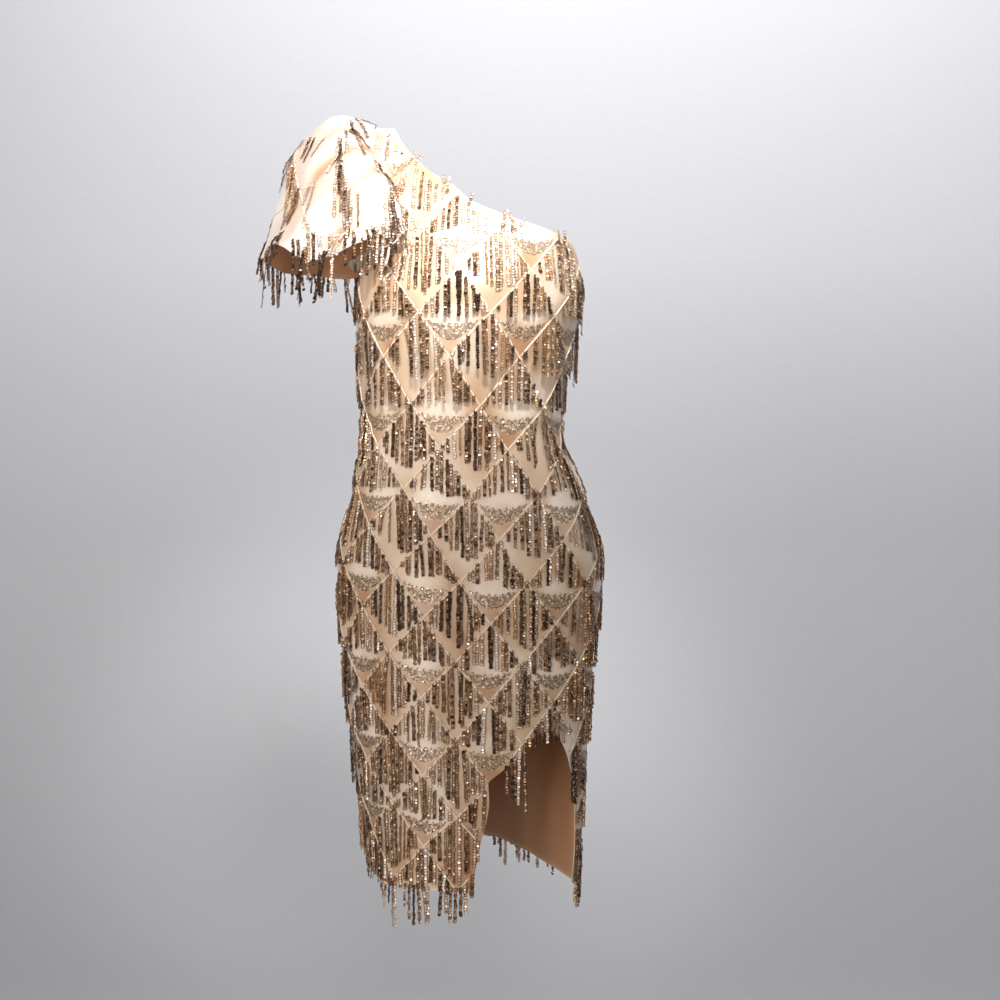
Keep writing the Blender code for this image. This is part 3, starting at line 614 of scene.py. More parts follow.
def band_rise(turn, height):
    """The turned hem along the neckline and the armhole, with its sewn line."""
    reach = np.full(turn.shape, 1.0)
    near = height > BAND_LOWEST
    x, z = body_point(turn, height)[near][:, [0, 2]].T
    for edge_z, edge_x in (LOW_EDGE, HIGH_EDGE):
        gaps = np.hypot(x[:, None] - edge_x, z[:, None] - edge_z)
        reach[near] = np.minimum(reach[near], gaps.min(-1))
    rise = BAND_RISE * ease((BAND_WIDTH - reach) / 0.0012)
    return rise - BAND_STITCH * bell((reach - BAND_WIDTH + 0.002) / 0.0012)


BODY_SHADE_DEPTH = 0.0024
SLEEVE_SHADE_DEPTH = 0.0040
HEAD_SHADE = 0.5          # painted shade: the sleeve's gathered head is coloured deeper
HEAD_REACH = 0.07         # down to this share of the way to its hem
HEM_SHADE = 1.0           # the turned hem is paler
HEM_BAND = 0.007
LOW_SHADE = -0.70         # painted shade: from here down the skirt is coloured deeper, darker towards the bottom


def crease_shade(crease, depth):
    """Painted shade in a trough (negative) and painted highlight on a ridge: how much deeper or
    paler the cloth is coloured there.
    """
    return np.where(crease < 0, 1.0, 0.35) * np.clip(crease / depth, -1.0, 1.0)


def lattice_shade(side, turn, height):
    """Painted sheen, paler in the middle of the diamonds with crescents; deeper at their lower
    tips, partly the cloth's tint and partly painted shade; and painted shade, deeper from
    LOW_SHADE down.
    """
    place = across_at(side, turn, height)
    across, even = place, height
    for _ in range(4):
        bent = lattice_place(side, across, even)
        across, even = across + place - bent[0], even + height - bent[1]
    low = ease((LOW_SHADE - height) / 0.14)
    # Painted shade, darker from LOW_SHADE down.
    shade = -0.4 * low
    for row in BLUNT_ROWS:
        top, centres = row_centres(row)
        level = (top - even) / ROW_PITCH
        share = np.abs(across[:, None] - centres).min(1) / (CELL_WIDTH / 2)
        # Painted sheen above the crescents; painted shade, partly the cloth's tint, at the lower
        # tips.
        pale = bell((level - 1.06) / 0.42) * ease((0.85 - share) / 0.6) * (1 - 0.6 * low)
        tip = 0.8 * ease((level - 1.52) / 0.15)
        shade = shade + np.where((level > share) & (level < 2 - share), pale - tip, 0.0)
    return shade


def part_slit(turns, levels, faces):
    """Parts the front's grid at the slit, and gives its turns and heights as two runs.

    The slit's left edge is the column where the grid parts. Its right edge is a run of
    points of its own at the end, and the faces beyond the slit are moved to it.
    """
    rows = np.flatnonzero(levels[:, SLIT_COLUMN] < SLIT_TOP)
    edge_levels = levels[rows, SLIT_COLUMN]
    left, right = slit_turns(edge_levels)
    share = np.arange(SLIT_COLUMN + 1) / SLIT_COLUMN
    turns[rows, :SLIT_COLUMN + 1] = left[:, None] * share
    share = np.arange(1, PANEL_COLUMNS + 1 - SLIT_COLUMN) / (PANEL_COLUMNS - SLIT_COLUMN)
    turns[rows, SLIT_COLUMN + 1:] = right[:, None] + (1 - right)[:, None] * share
    columns = PANEL_COLUMNS + 1
    moved = np.arange(turns.size)
    moved[rows * columns + SLIT_COLUMN] = turns.size + np.arange(len(rows))
    beyond = faces[:, 0] % columns >= SLIT_COLUMN
    faces[beyond] = moved[faces[beyond]]
    return np.append(turns, right), np.append(levels, edge_levels)


def build_panel(side, materials):
    """A panel: a thin shell, its slit cut between two columns of points."""
    turns, levels = panel_grid(side)
    faces = grid_faces(*turns.shape)
    turn, level = turns.ravel(), levels.ravel()
    if side == "front":
        turn, level = part_slit(turns, levels, faces)
    lattice_sheen_and_shade = lattice_shade(side, turn, level)
    hem = HEM_SHADE * ease((hem_height(side, turn) + HEM_BAND - level) / HEM_BAND)
    band = band_rise(turn, level)
    turn = mirrored(turn, side)
    shade = hem + crease_shade(body_crease(turn, level), BODY_SHADE_DEPTH)
    outer, normal = cloth_point(turn, level, band)
    points = np.concatenate([outer, outer - normal * CLOTH])
    if side == "front":
        points[:, 1] = np.minimum(points[:, 1], -SEAM_GAP / 2)
    else:
        points[:, 1] = np.maximum(points[:, 1], SEAM_GAP / 2)
        faces = faces[:, ::-1]
    piece = cloth_shell(side + "_cloth", points, faces, materials)
    # The point value shade: painted shade and highlight of the creases and the paler turned hem
    # on both sides, and the lattice's painted sheen and shade on the outer side.
    point_value(piece, "shade", np.concatenate([shade + lattice_sheen_and_shade, shade]))
    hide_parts(side)
    return piece


SLEEVE_COLUMNS = 260
SLEEVE_ROWS = 64
SLEEVE_HEM_WIDTH = 0.030  # share of the way down that the sleeve's hem takes


def build_sleeve(materials):
    turn, down = np.meshgrid(
        np.linspace(0, 1, SLEEVE_COLUMNS, endpoint=False),
        np.linspace(0, 1, SLEEVE_ROWS) ** 1.25, indexing="xy")
    hem = 0.0005 * ease((down - 1 + SLEEVE_HEM_WIDTH) / 0.006)
    inner = sleeve_point(turn, down)
    normal = sleeve_normal(turn, down)
    inner = inner + normal * (SLEEVE_WALL - CLOTH + hem)[..., None]
    outer = inner + normal * CLOTH
    points = np.concatenate([outer.reshape(-1, 3), inner.reshape(-1, 3)])
    sheet = grid_faces(SLEEVE_ROWS, SLEEVE_COLUMNS, closed=True)
    piece = cloth_shell("sleeve_cloth", points, sheet, materials)
    # Painted shade in the folds and at the gathered head, painted highlight on the folds' ridges.
    shade = crease_shade(sleeve_crease(turn, down), SLEEVE_SHADE_DEPTH)
    shade = shade - HEAD_SHADE * ease((HEAD_REACH - down) / HEAD_REACH)
    point_value(piece, "shade", np.tile(shade.ravel(), 2))
    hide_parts("sleeve")
    return piece


# ---------------------------------------------------------------- places on the cloth
GIRTH_STEPS = 80
GIRTH_PITCH = 0.004       # from one measured level to the next
GIRTH_LEVELS = np.arange(DEEPEST, 0.0001, GIRTH_PITCH)
GIRTH_TURNS = np.linspace(0.0, 1.0, GIRTH_STEPS + 1)


def girth_rows(side):
    """Length along the section from the middle line, for each level and turn of a panel."""
    turn, height = np.meshgrid(mirrored(GIRTH_TURNS, side), np.minimum(GIRTH_LEVELS, 0.0))
    steps = np.linalg.norm(np.diff(body_point(turn, height), axis=1), axis=-1)
    lengths = np.concatenate([np.zeros((len(steps), 1)), np.cumsum(steps, axis=1)], axis=1)
    return lengths - lengths[:, GIRTH_STEPS // 2, None]


GIRTHS = {side: girth_rows(side) for side in ("front", "back")}


def turn_across(side, across, height):
    """The turn, 0 to 1, at a distance across the panel from its middle line."""
    across, height = np.broadcast_arrays(np.asarray(across, float), np.asarray(height, float))
    place = np.clip((height - DEEPEST) / GIRTH_PITCH, 0, len(GIRTH_LEVELS) - 1.001)
    row = place.astype(int)
    share = (place - row)[..., None]
    lengths = GIRTHS[side][row] * (1 - share) + GIRTHS[side][row + 1] * share
    step = np.clip((lengths <= across[..., None]).sum(-1) - 1, 0, GIRTH_STEPS - 1)
    low = np.take_along_axis(lengths, step[..., None], -1)[..., 0]
    high = np.take_along_axis(lengths, step[..., None] + 1, -1)[..., 0]
    return np.clip((step + (across - low) / (high - low)) / GIRTH_STEPS, -0.02, 1.02)


def across_at(side, turn, height):
    """Distance of places from the panel's middle line; turn is 0 to 1."""
    row = np.clip((height - DEEPEST) / GIRTH_PITCH, 0, len(GIRTH_LEVELS) - 1).astype(int)
    lengths = GIRTHS[side][row]
    step = np.clip(turn, 0.0, 1.0) * GIRTH_STEPS
    low = np.clip(step.astype(int), 0, GIRTH_STEPS - 1)[:, None]
    first = np.take_along_axis(lengths, low, 1)[:, 0]
    second = np.take_along_axis(lengths, low + 1, 1)[:, 0]
    return first + (step - low[:, 0]) * (second - first)


def lattice_place(side, across, height):
    """Across and height on the panel of places in the even lattice."""
    if side == "back":
        return across, height
    shift, stretch, left, middle, right = read_off(WARP_CURVES, LEVELS, height)
    aside = np.clip(across / WARP_REACH, -1.5, 1.5)
    rise = middle + aside * np.where(aside < 0, middle - left, right - middle)
    return across * stretch + shift, height + rise


def inside_cloth(side, turn, height, margin, seam):
    """Whether a place is on the panel, a margin inside its edges and a turn off its seams."""
    slack = margin / SIDE_LENGTH
    held = (turn > low_turn(height) + slack) & (turn < high_turn(height) - slack)
    held &= (turn > seam) & (turn < 1 - seam)
    held &= (height > hem_height(side, turn) + margin) & (height < 0.0)
    if side == "front":
        left, right = slit_turns(height)
        held &= (turn <= left - slack) | (turn >= right + slack) | (height >= SLIT_TOP)
    return held


# ---------------------------------------------------------------- lattice ribs
RIB_WIDTH = 0.0027
RIB_HEIGHT = 0.0011
RIB_STEP = 0.0045
RIB_MARGIN = 0.0035
RIB_SINK = 0.0002         # its foot lies this far in the cloth


def rib_piece(name, runs, material):
    """Closed flat tubes along runs of (points, outward directions)."""
    points, quads, count = [], [], 0
    for centre, out in runs:
        along = unit(np.gradient(centre, axis=0))
        aside = unit(np.cross(along, out)) * RIB_WIDTH / 2
        ring = np.stack([
            centre - aside, centre - aside * 0.45 + out * RIB_HEIGHT,
            centre + aside * 0.45 + out * RIB_HEIGHT, centre + aside,
        ], 1)
        size = len(centre)
        index = count + np.arange(size * 4).reshape(size, 4)
        for k in range(4):
            n = (k + 1) % 4
            quads.append(np.stack([index[:-1, k], index[1:, k], index[1:, n], index[:-1, n]], -1))
        quads.append(index[:1, ::-1])
        quads.append(index[-1:])
        points.append(ring.reshape(-1, 3))
        count += size * 4
    quads = np.concatenate(quads)[:, ::-1]
    piece = make_mesh(name, np.concatenate(points), [quads], [material])
    return piece


def whole_runs(points, out, held):
    """The stretches of a run that are on the cloth."""
    marks = np.flatnonzero(np.diff(np.concatenate([[0], held.astype(int), [0]])))
    return [(points[a:b], out[a:b]) for a, b in marks.reshape(-1, 2) if b - a > 2]


def zigzag_run(top, centres):
    """Across and height along the zigzag of a row, corner to corner."""
    across, height = [], []
    steps = math.ceil(math.hypot(CELL_WIDTH / 2, ROW_PITCH) / RIB_STEP)
    for centre in centres:
        for start, rise in ((-1, 1), (0, -1)):
            share = np.linspace(0, 1, steps + 1)[:-1]
            across.append(centre + (start + share) * CELL_WIDTH / 2)
            height.append(top - ROW_PITCH * (1 - share if rise > 0 else share))
    return np.concatenate(across), np.concatenate(height)


def row_centres(row):
    """Height of the top corners of a row of the even lattice, and the middles of its diamonds."""
    numbers = np.array(COLUMNS) + (0.0 if row % 2 else 0.5)
    return FIRST_ROW - ROW_PITCH * row, numbers * CELL_WIDTH


def build_ribs(side, material):
    runs = []
    for row in ROWS:
        across, height = lattice_place(side, *zigzag_run(*row_centres(row)))
        level = np.minimum(height, -0.001)
        turn = turn_across(side, across, level)
        held = inside_cloth(side, turn, height, RIB_MARGIN, 0.004)
        points, out = cloth_point(mirrored(turn, side), level, -RIB_SINK)
        runs += whole_runs(points, out, held)
    return rib_piece(side + "_lattice", runs, material)


def sleeve_place(across, height):
    """Turn and share down of a place laid out on the sleeve."""
    return across / SLEEVE_GIRTH, -height / SLEEVE_LENGTH


def build_sleeve_ribs(material):
    runs = []
    for row, top in enumerate(SLEEVE_ROW_TOPS):
        numbers = np.arange(-3, 4) + 0.5 * (row % 2)
        across, height = zigzag_run(top, numbers * CELL_WIDTH)
        turn, down = sleeve_place(across, height)
        held = (np.abs(turn) < 0.36) & (down > 0.05) & (down < 0.97)
        level = np.clip(down, 0.0, 1.0)
        out = sleeve_normal(turn, level)
        points = sleeve_point(turn, level) + out * (SLEEVE_WALL - RIB_SINK)
        runs += whole_runs(points, out, held)
    return rib_piece("sleeve_lattice", runs, material)


# ---------------------------------------------------------------- strands of sequins
RNG = np.random.default_rng(7)
STRAND_SPACING = 0.0053
SEQUIN_RADIUS = 0.0024
SEQUIN_CLEARANCE = 0.0019
STEP = 0.0032             # from one sequin of a strand to the next
LEAF_SHORT = 0.92         # length of a leaf tuft at its sides, and how much more at its middle
LEAF_MORE = 0.66
BLUNT_LENGTH = 1.04
BLUNT_GROUP = 0.07        # how far groups of strands differ, in row pitches
NECK_DROP = 0.0085        # roots keep this far under the neckline
LOWEST = -0.912           # no strand hangs lower
HEM_SLACK = 0.002         # the cloth counts as there, and its tufts end, this far past the hem
# Tones near 0.9 give near-white strands: painted glints.
BODY_TONES = (
    # share, tone, spread, warmth, turned edge on
    (0.48, 0.36, 0.10, 0.60, 0.4),
    (0.16, 0.62, 0.12, 0.40, 0.3),
    (0.20, 0.52, 0.08, 1.00, 1.2),
    (0.12, 0.20, 0.05, 0.60, 0.5),
    (0.04, 0.90, 0.06, 0.20, 0.3),
)
CHEST_ROWS = 0            # rows above this one take the tones of the chest
# Its near-white first row is painted glints.
CHEST_TONES = (
    (0.40, 0.84, 0.12, 0.20, 0.4),
    (0.26, 0.62, 0.12, 0.50, 0.4),
    (0.20, 0.36, 0.10, 0.45, 0.4),
    (0.14, 0.56, 0.08, 0.95, 1.2),
)
# Its near-white first row is painted glints.
SLEEVE_TONES = (
    (0.36, 0.86, 0.12, 0.15, 0.4),
    (0.20, 0.60, 0.12, 0.45, 0.4),
    (0.30, 0.26, 0.10, 0.40, 0.4),
    (0.14, 0.52, 0.08, 0.95, 1.2),
)
HEM_TONES = (
    (0.70, 0.18, 0.08, 0.30, 0.6),
    (0.20, 0.40, 0.12, 0.40, 0.6),
    (0.10, 0.75, 0.12, 0.20, 0.4),
)


def strand_looks(count, tones):
    """For each strand: its tone, its spread, its warmth and how far it is turned."""
    shares = np.array([row[0] for row in tones])
    kind = RNG.choice(len(tones), count, p=shares / shares.sum())
    rows = np.array(tones)[kind]
    turned = rows[:, 4] * RNG.choice([-1, 1], count) * RNG.uniform(0.3, 1.0, count)
    return rows[:, 1] + RNG.normal(0, 0.04, count), rows[:, 2], rows[:, 3], turned


def tuft_roots(side, row):
    """Across, root height and end height of the strands in a row's diamonds."""
    top, centres = row_centres(row)
    half = CELL_WIDTH / 2
    count = int(CELL_WIDTH / STRAND_SPACING)
    parts = []
    for centre in centres:
        offset = (np.arange(count) + 0.5) / count * CELL_WIDTH - half
        offset = offset + RNG.uniform(-0.40, 0.40, count) * STRAND_SPACING
        share = np.clip(np.abs(offset) / half, 0, 1)
        if row % 2:
            drop = LEAF_SHORT + LEAF_MORE * (1 - share) + RNG.normal(0, 0.05, count)
        else:
            group = np.repeat(RNG.normal(0, BLUNT_GROUP, count), RNG.integers(2, 5, count))
            drop = BLUNT_LENGTH + group[:count] + RNG.normal(0, 0.02, count)
            drop = np.maximum(drop, share + 0.06)
        parts.append((centre + offset, top - ROW_PITCH * share, ROW_PITCH * (drop - share)))
    across, root, length = np.concatenate(parts, axis=1)
    across, root = lattice_place(side, across, root)
    return across, root, root - length


def below_neck(side, across, root):
    """Roots above the neckline are moved under it."""
    for _ in range(3):
        level = np.minimum(root, -0.004)
        turn = turn_across(side, across, level)
        neck = neck_height(body_point(turn, level)[..., 0])
        root = np.minimum(root, np.minimum(neck, TOP_LEVEL) - NECK_DROP)
    return root


SWAY = 0.035              # how far strands lean from upright, in radians
STRAY_SHARE = 0.06        # strands that lean more
STRAY_SWAY = 0.16
CLOSING_IN = 0.00012      # how far a strand comes back to the body at each step at most


def leaning(count):
    """Sideways lean of each strand, and how much it straightens out further down."""
    lean = RNG.normal(0, SWAY, count)
    stray = RNG.random(count) < STRAY_SHARE
    return np.where(stray, RNG.normal(0, STRAY_SWAY, count), lean), RNG.uniform(0.2, 1.0, count)


def falling(side, across, root, end):
    """Points of strands that fall from their roots, pushed out where the cloth is in the way.

    Gives points (strand, step, axis), outward directions, and which steps are real.
    """
    length = root - end
    steps = max(int(length.max() / STEP) + 1, 2)
    turn = mirrored(turn_across(side, across, root), side)
    anchor, out = cloth_point(turn, root, SEQUIN_CLEARANCE)
    level = unit(out * LEVEL_PART + 1e-9)
    aside = np.stack([-level[:, 1], level[:, 0], np.zeros(len(level))], -1)
    start, reach = dot(anchor, aside), dot(anchor, level)
    lean, ease_off = leaning(len(root))
    points = np.zeros((len(root), steps, 3))
    real = np.zeros((len(root), steps), bool)
    ahead = 0.002
    for k in range(steps):
        drop = STEP * (k + 0.4)
        height = np.maximum(root - drop, LAST_LEVEL)
        lateral = start + lean * drop * (1 - 0.5 * ease_off * drop / np.maximum(length, drop))
        for _ in range(3):
            here = body_point(turn, height)
            rate = dot(body_point(turn + ahead, height) - here, aside) / ahead
            rate = np.where(np.abs(rate) < 0.05, 0.05 * np.sign(rate + 1e-9), rate)
            turn = turn + np.clip((lateral - dot(here, aside)) / rate, -0.02, 0.02)
        cloth, _ = cloth_point(turn, height, SEQUIN_CLEARANCE)
        on_cloth = height > hem_height(side, mirrored(turn, side)) - HEM_SLACK
        reach = np.where(on_cloth, np.maximum(reach - CLOSING_IN, dot(cloth, level)), reach)
        points[:, k] = aside * lateral[:, None] + level * reach[:, None]
        points[:, k, 2] = root - drop
        real[:, k] = drop <= length
    return points, level, real


SEQUIN_SIDES = 6
RIM_DEPTH = 0.0007        # how far a cup's floor lies behind its rim
FLOOR_SHARE = 0.60        # the floor's radius as a share of the rim's
SCALE_TILT = 0.42         # each cup leans out over the next one down, in radians
RIM_SHADE = 0.16           # painted shade: a rim's tone as a share of its floor's


def sequin_ring(centres, face, radius, spin):
    """Points round each centre, in the plane across its facing direction."""
    u = unit(np.cross(UPRIGHT, face))
    v = np.cross(face, u)
    angle = spin[:, None] + 2 * np.pi * np.arange(SEQUIN_SIDES) / SEQUIN_SIDES
    arm = u[:, None] * np.cos(angle)[..., None] + v[:, None] * np.sin(angle)[..., None]
    return centres[:, None] + arm * radius[:, None, None]


def sequin_mesh(centres, out, tone, warmth, turned):
    """Cup sequins at centres, facing out, as points, faces, tones and warmths."""
    count = len(centres)
    twist = turned + RNG.normal(0, 0.14, count)
    aside = np.stack([-out[:, 1], out[:, 0], np.zeros(count)], -1)
    face = out * np.cos(twist)[:, None] + aside * np.sin(twist)[:, None]
    tip = RNG.normal(SCALE_TILT, 0.11, count)
    face = unit(face * np.cos(tip)[:, None] + UPRIGHT * np.sin(tip)[:, None])
    spin = RNG.uniform(0, 2 * np.pi, count)
    radius = SEQUIN_RADIUS * RNG.uniform(0.86, 1.08, count)
    rim = sequin_ring(centres, face, radius, spin)
    floor = sequin_ring(centres, face, radius * FLOOR_SHARE, spin) - (face * RIM_DEPTH)[:, None]
    points = np.concatenate([rim, floor], 1)
    # The rims get painted shade: a darker tone than the floors.
    tones = np.stack([np.clip(tone * RIM_SHADE, 0.0, 1.0), tone], 1)
    shades = np.repeat(tones, SEQUIN_SIDES, 1)
    base = np.arange(count)[:, None] * (2 * SEQUIN_SIDES)
    k = np.arange(SEQUIN_SIDES)
    n = (k + 1) % SEQUIN_SIDES
    wall = np.stack([k, n, n + SEQUIN_SIDES, k + SEQUIN_SIDES], -1)
    quads = (base[:, None, :] + wall[None]).reshape(-1, 4)
    floors = base + SEQUIN_SIDES + k
    warm = np.repeat(warmth, 2 * SEQUIN_SIDES)
    return points.reshape(-1, 3), [quads, floors], shades.ravel(), warm


def build_strands(name, parts, material, nodes):
    """One piece of fringe from parts (strands, tones); it stands for the solid locks."""
    sequins = []
    for (points, out, real), table in parts:
        tone, vary, warmth, turned = strand_looks(len(points), table)
        strand, step = np.nonzero(real)
        out = out[strand] if out.ndim == 2 else out[strand, step]
        tone = tone[strand] + RNG.normal(0, 1, len(strand)) * vary[strand]
        sequins.append((points[strand, step], out, tone, warmth[strand], turned[strand]))
    centres, out, tone, warmth, turned = map(np.concatenate, zip(*sequins))
    centres = centres + RNG.normal(0, 0.00025, centres.shape)
    points, faces, tones, warmths = sequin_mesh(
        centres, out, np.clip(tone, 0.02, 1.0), warmth, turned)
    piece = make_mesh(name, points, faces, [material], smooth=False)
    point_value(piece, "tone", tones)
    point_value(piece, "warmth", warmths)
    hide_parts(*nodes)
    print(name, len(centres), "sequins")
    return piece


UPPER_ROWS = range(-5, 6)
LOWER_ROWS = range(6, 16)


def body_tufts(side, rows):
    parts = []
    for row in rows:
        across, root, end = tuft_roots(side, row)
        root = below_neck(side, across, root)
        end = np.maximum(end, LOWEST)
        turn = turn_across(side, across, np.clip(root, LAST_LEVEL, TOP_LEVEL))
        short = RNG.random(len(end)) > HEM_STRANDS_KEPT[side]
        hem = np.minimum(hem_height(side, turn), root)
        end = np.where(short, np.maximum(end, hem - HEM_SLACK), end)
        held = inside_cloth(side, turn, root, 0.0012, 0.001) & (root - end > 0.0035)
        if held.any():
            tones = CHEST_TONES if row < CHEST_ROWS else BODY_TONES
            parts.append((falling(side, across[held], root[held], end[held]), tones))
    return parts


# Short strands that lie flipped up over the neckline of the front.
NECK_TUFTS = (
    # x, lean in degrees, sequins
    (0.036, 14, 4), (0.041, 24, 4), (0.072, -12, 3), (0.076, 8, 4), (0.101, 20, 4),
    (0.139, 8, 3), (0.147, -25, 4), (0.158, 30, 3), (0.199, -10, 3), (0.205, 15, 4),
)


def neck_tufts():
    steps = max(row[2] for row in NECK_TUFTS) + 1
    x, lean, count = np.array(NECK_TUFTS).T
    height = neck_height(x) - 0.003
    root, out = cloth_point(turn_at(x, height), height, SEQUIN_CLEARANCE)
    lean = np.radians(lean)
    heading = np.stack([np.sin(lean), np.zeros(len(x)), np.cos(lean)], -1)
    heading = unit(heading - out * dot(heading, out)[:, None])
    points = root[:, None] + heading[:, None] * (STEP * (np.arange(steps) - 1))[:, None]
    return points, out, np.arange(steps)[None] <= count[:, None]


HEM_REACH = 0.21          # strands are laid out this far each way from the middle line
HEM_STRAND_TOP = 0.004    # roots of the hem's strands above the hem
HEM_LOCK_SPACING = 0.042
HEM_LOCK_SHARE = 0.72     # of a lock's place that has strands, the rest is a gap
HEM_LOCK_LENGTHS = {
    "front": (0.040, 0.052, 0.034, 0.046),
    "back": (0.020, 0.016, 0.024, 0.018),
}
HEM_LENGTH_SHARES = (
    # turn, and how much of its length a strand has there
    (0.12, 0.24, 0.80, 0.90),
    (0.30, 1.00, 1.00, 0.55),
)
HEM_STRANDS_KEPT = {"front": 1.0, "back": 0.30}


def locks(across, spacing, lengths):
    """How near the side of its lock each strand of a row is, and the length of the lock."""
    place = (across - across[0]) / spacing
    lock = place.astype(int)
    return np.abs(place - lock - 0.5) * 2, np.array(lengths)[lock % len(lengths)]


def hem_strands(side):
    """Strands along the hem, in groups that taper to a point."""
    across = np.arange(-HEM_REACH, HEM_REACH, STRAND_SPACING)
    share, length = locks(across, HEM_LOCK_SPACING, HEM_LOCK_LENGTHS[side])
    length = length * (1 - 0.45 * share) + RNG.normal(0, 0.003, len(across))
    turn = turn_across(side, across, HEM_LEVEL)
    length = length * np.interp(turn, *HEM_LENGTH_SHARES)
    root = hem_height(side, turn) + HEM_STRAND_TOP
    held = inside_cloth(side, turn, root, 0.001, 0.002)
    held &= (RNG.random(len(across)) < HEM_STRANDS_KEPT[side]) & (share < HEM_LOCK_SHARE)
    return falling(side, across[held], root[held], np.maximum(root - length, LOWEST)[held])


SLEEVE_REACH = 0.335 * SLEEVE_GIRTH   # strands go this far each way from the top line
SLEEVE_ROOTS = (-0.225, -0.010)       # lowest and highest root laid out on the sleeve
SLEEVE_TUFT_SHARES = (0.50, 1.25)     # shortest and longest strand of a tuft, in row pitches
SLEEVE_KEPT = 0.74
SLEEVE_SWAY = 0.12
SLEEVE_LOCK_WIDTH = 0.026
SLEEVE_LOCK_SHARE = 0.68  # of a lock's place that has strands, the rest is a gap
SLEEVE_HEM_LENGTHS = (0.036, 0.048, 0.030, 0.042, 0.051)
SLEEVE_REST_TILT = -0.35  # strands leave the cloth where it faces further down than this


def sleeve_falling(across, root, length):
    """Strands of the sleeve: down over its cloth, then straight down."""
    turn, down = sleeve_place(across, root)
    steps = int(length.max() / STEP) + 1
    points = np.zeros((len(across), steps, 3))
    outs = np.zeros((len(across), steps, 3))
    resting = np.ones(len(across), bool)
    lean = RNG.normal(0, SLEEVE_SWAY, len(across))
    swing = np.stack([lean, np.zeros(len(lean)), np.zeros(len(lean))], -1) - UPRIGHT
    aside, below = 0.004, 0.01
    for k in range(steps):
        out = sleeve_normal(turn, down)
        here = sleeve_point(turn, down)
        cloth = here + out * (SLEEVE_WALL + SEQUIN_CLEARANCE)
        round_rate = (sleeve_point(turn + aside, down) - here) / aside
        low = np.clip(down + below, below, 1.0)
        down_rate = (sleeve_point(turn, low) - sleeve_point(turn, low - below)) / below
        pull = out * out[:, 2:] - UPRIGHT + unit(round_rate) * (0.3 * lean)[:, None]
        pull = unit(pull) * STEP
        cross = dot(round_rate, down_rate)
        round_size, down_size = dot(round_rate, round_rate), dot(down_rate, down_rate)
        spread_out = round_size * down_size - cross ** 2
        turned = dot(pull, round_rate) * down_size - dot(pull, down_rate) * cross
        lowered = dot(pull, down_rate) * round_size - dot(pull, round_rate) * cross
        hanging = points[:, k - 1] + unit(swing) * STEP
        level = unit(outs[:, k - 1] * LEVEL_PART + 1e-9)
        points[:, k] = np.where(resting[:, None], cloth, hanging)
        outs[:, k] = np.where(resting[:, None], out, level)
        turn = turn + resting * turned / spread_out
        down = down + resting * lowered / spread_out
        resting &= (down > 0.0) & (down < 0.995) & (np.abs(turn) < 0.40)
        resting &= out[:, 2] > SLEEVE_REST_TILT
    return points, outs, STEP * np.arange(steps)[None] <= length[:, None]


def sleeve_tufts():
    parts = []
    count = int(CELL_WIDTH / STRAND_SPACING)
    for row, top in enumerate(SLEEVE_ROW_TOPS):
        for number in np.arange(-3, 4) + 0.5 * (row % 2):
            place = (np.arange(count) + RNG.uniform(0.1, 0.9, count)) / count - 0.5
            group = np.repeat(RNG.random(count) < SLEEVE_KEPT, RNG.integers(2, 5, count))
            place = place[group[:count]]
            length = ROW_PITCH * RNG.uniform(*SLEEVE_TUFT_SHARES, len(place))
            root = top - ROW_PITCH * 2 * np.abs(place)
            parts.append(((number + place) * CELL_WIDTH, root, length))
    across, root, length = np.concatenate(parts, axis=1)
    kept = (np.abs(across) < SLEEVE_REACH) & (root > SLEEVE_ROOTS[0]) & (root < SLEEVE_ROOTS[1])
    return sleeve_falling(across[kept], root[kept], length[kept])


def sleeve_hem_strands():
    across = np.arange(-SLEEVE_REACH, SLEEVE_REACH, STRAND_SPACING * 0.8)
    share, length = locks(across, SLEEVE_LOCK_WIDTH, SLEEVE_HEM_LENGTHS)
    length = length * (1.2 - 0.5 * share) + RNG.normal(0, 0.004, len(across))
    root = -SLEEVE_LENGTH + RNG.uniform(0.006, 0.020, len(across))
    across = across + RNG.uniform(-0.002, 0.002, len(across))
    kept = share < SLEEVE_LOCK_SHARE
    return sleeve_falling(across[kept], root[kept], length[kept])


# ---------------------------------------------------------------- small flat sequins
SMALL_SPACING = 0.0019
SMALL_RADIUS = 0.00092
SMALL_CLEARANCE = 0.00035
CRESCENT_TOP = 0.34       # of the crescent's middle under the side corners, in row pitches
CRESCENT_END = 0.64       # the plain tip starts here
CRESCENT_TEETH = 0.10


def crescent_places(centre, top):
    """Places of the flat sequins in the lower half of a diamond."""
    half = CELL_WIDTH / 2
    columns = np.arange(-half, half, SMALL_SPACING)
    rows = np.arange(0.02, 1.0, SMALL_SPACING * 0.87 / ROW_PITCH)
    offset, level = np.meshgrid(columns, rows)
    offset = offset + (np.arange(len(rows)) % 2)[:, None] * SMALL_SPACING / 2
    share = np.abs(offset) / half
    teeth = CRESCENT_TEETH * np.abs((offset / 0.0075 + centre * 90) % 1.0 - 0.5) * 2
    upper = CRESCENT_TOP - 0.24 * share ** 1.6 - teeth * (1 - share)
    lower = np.minimum(1 - share - 0.055, CRESCENT_END - 0.9 * share ** 2)
    keep = (level > upper) & (level < lower) & (RNG.random(level.shape) < 0.94)
    return centre + offset[keep], top - ROW_PITCH * (1 + level[keep])


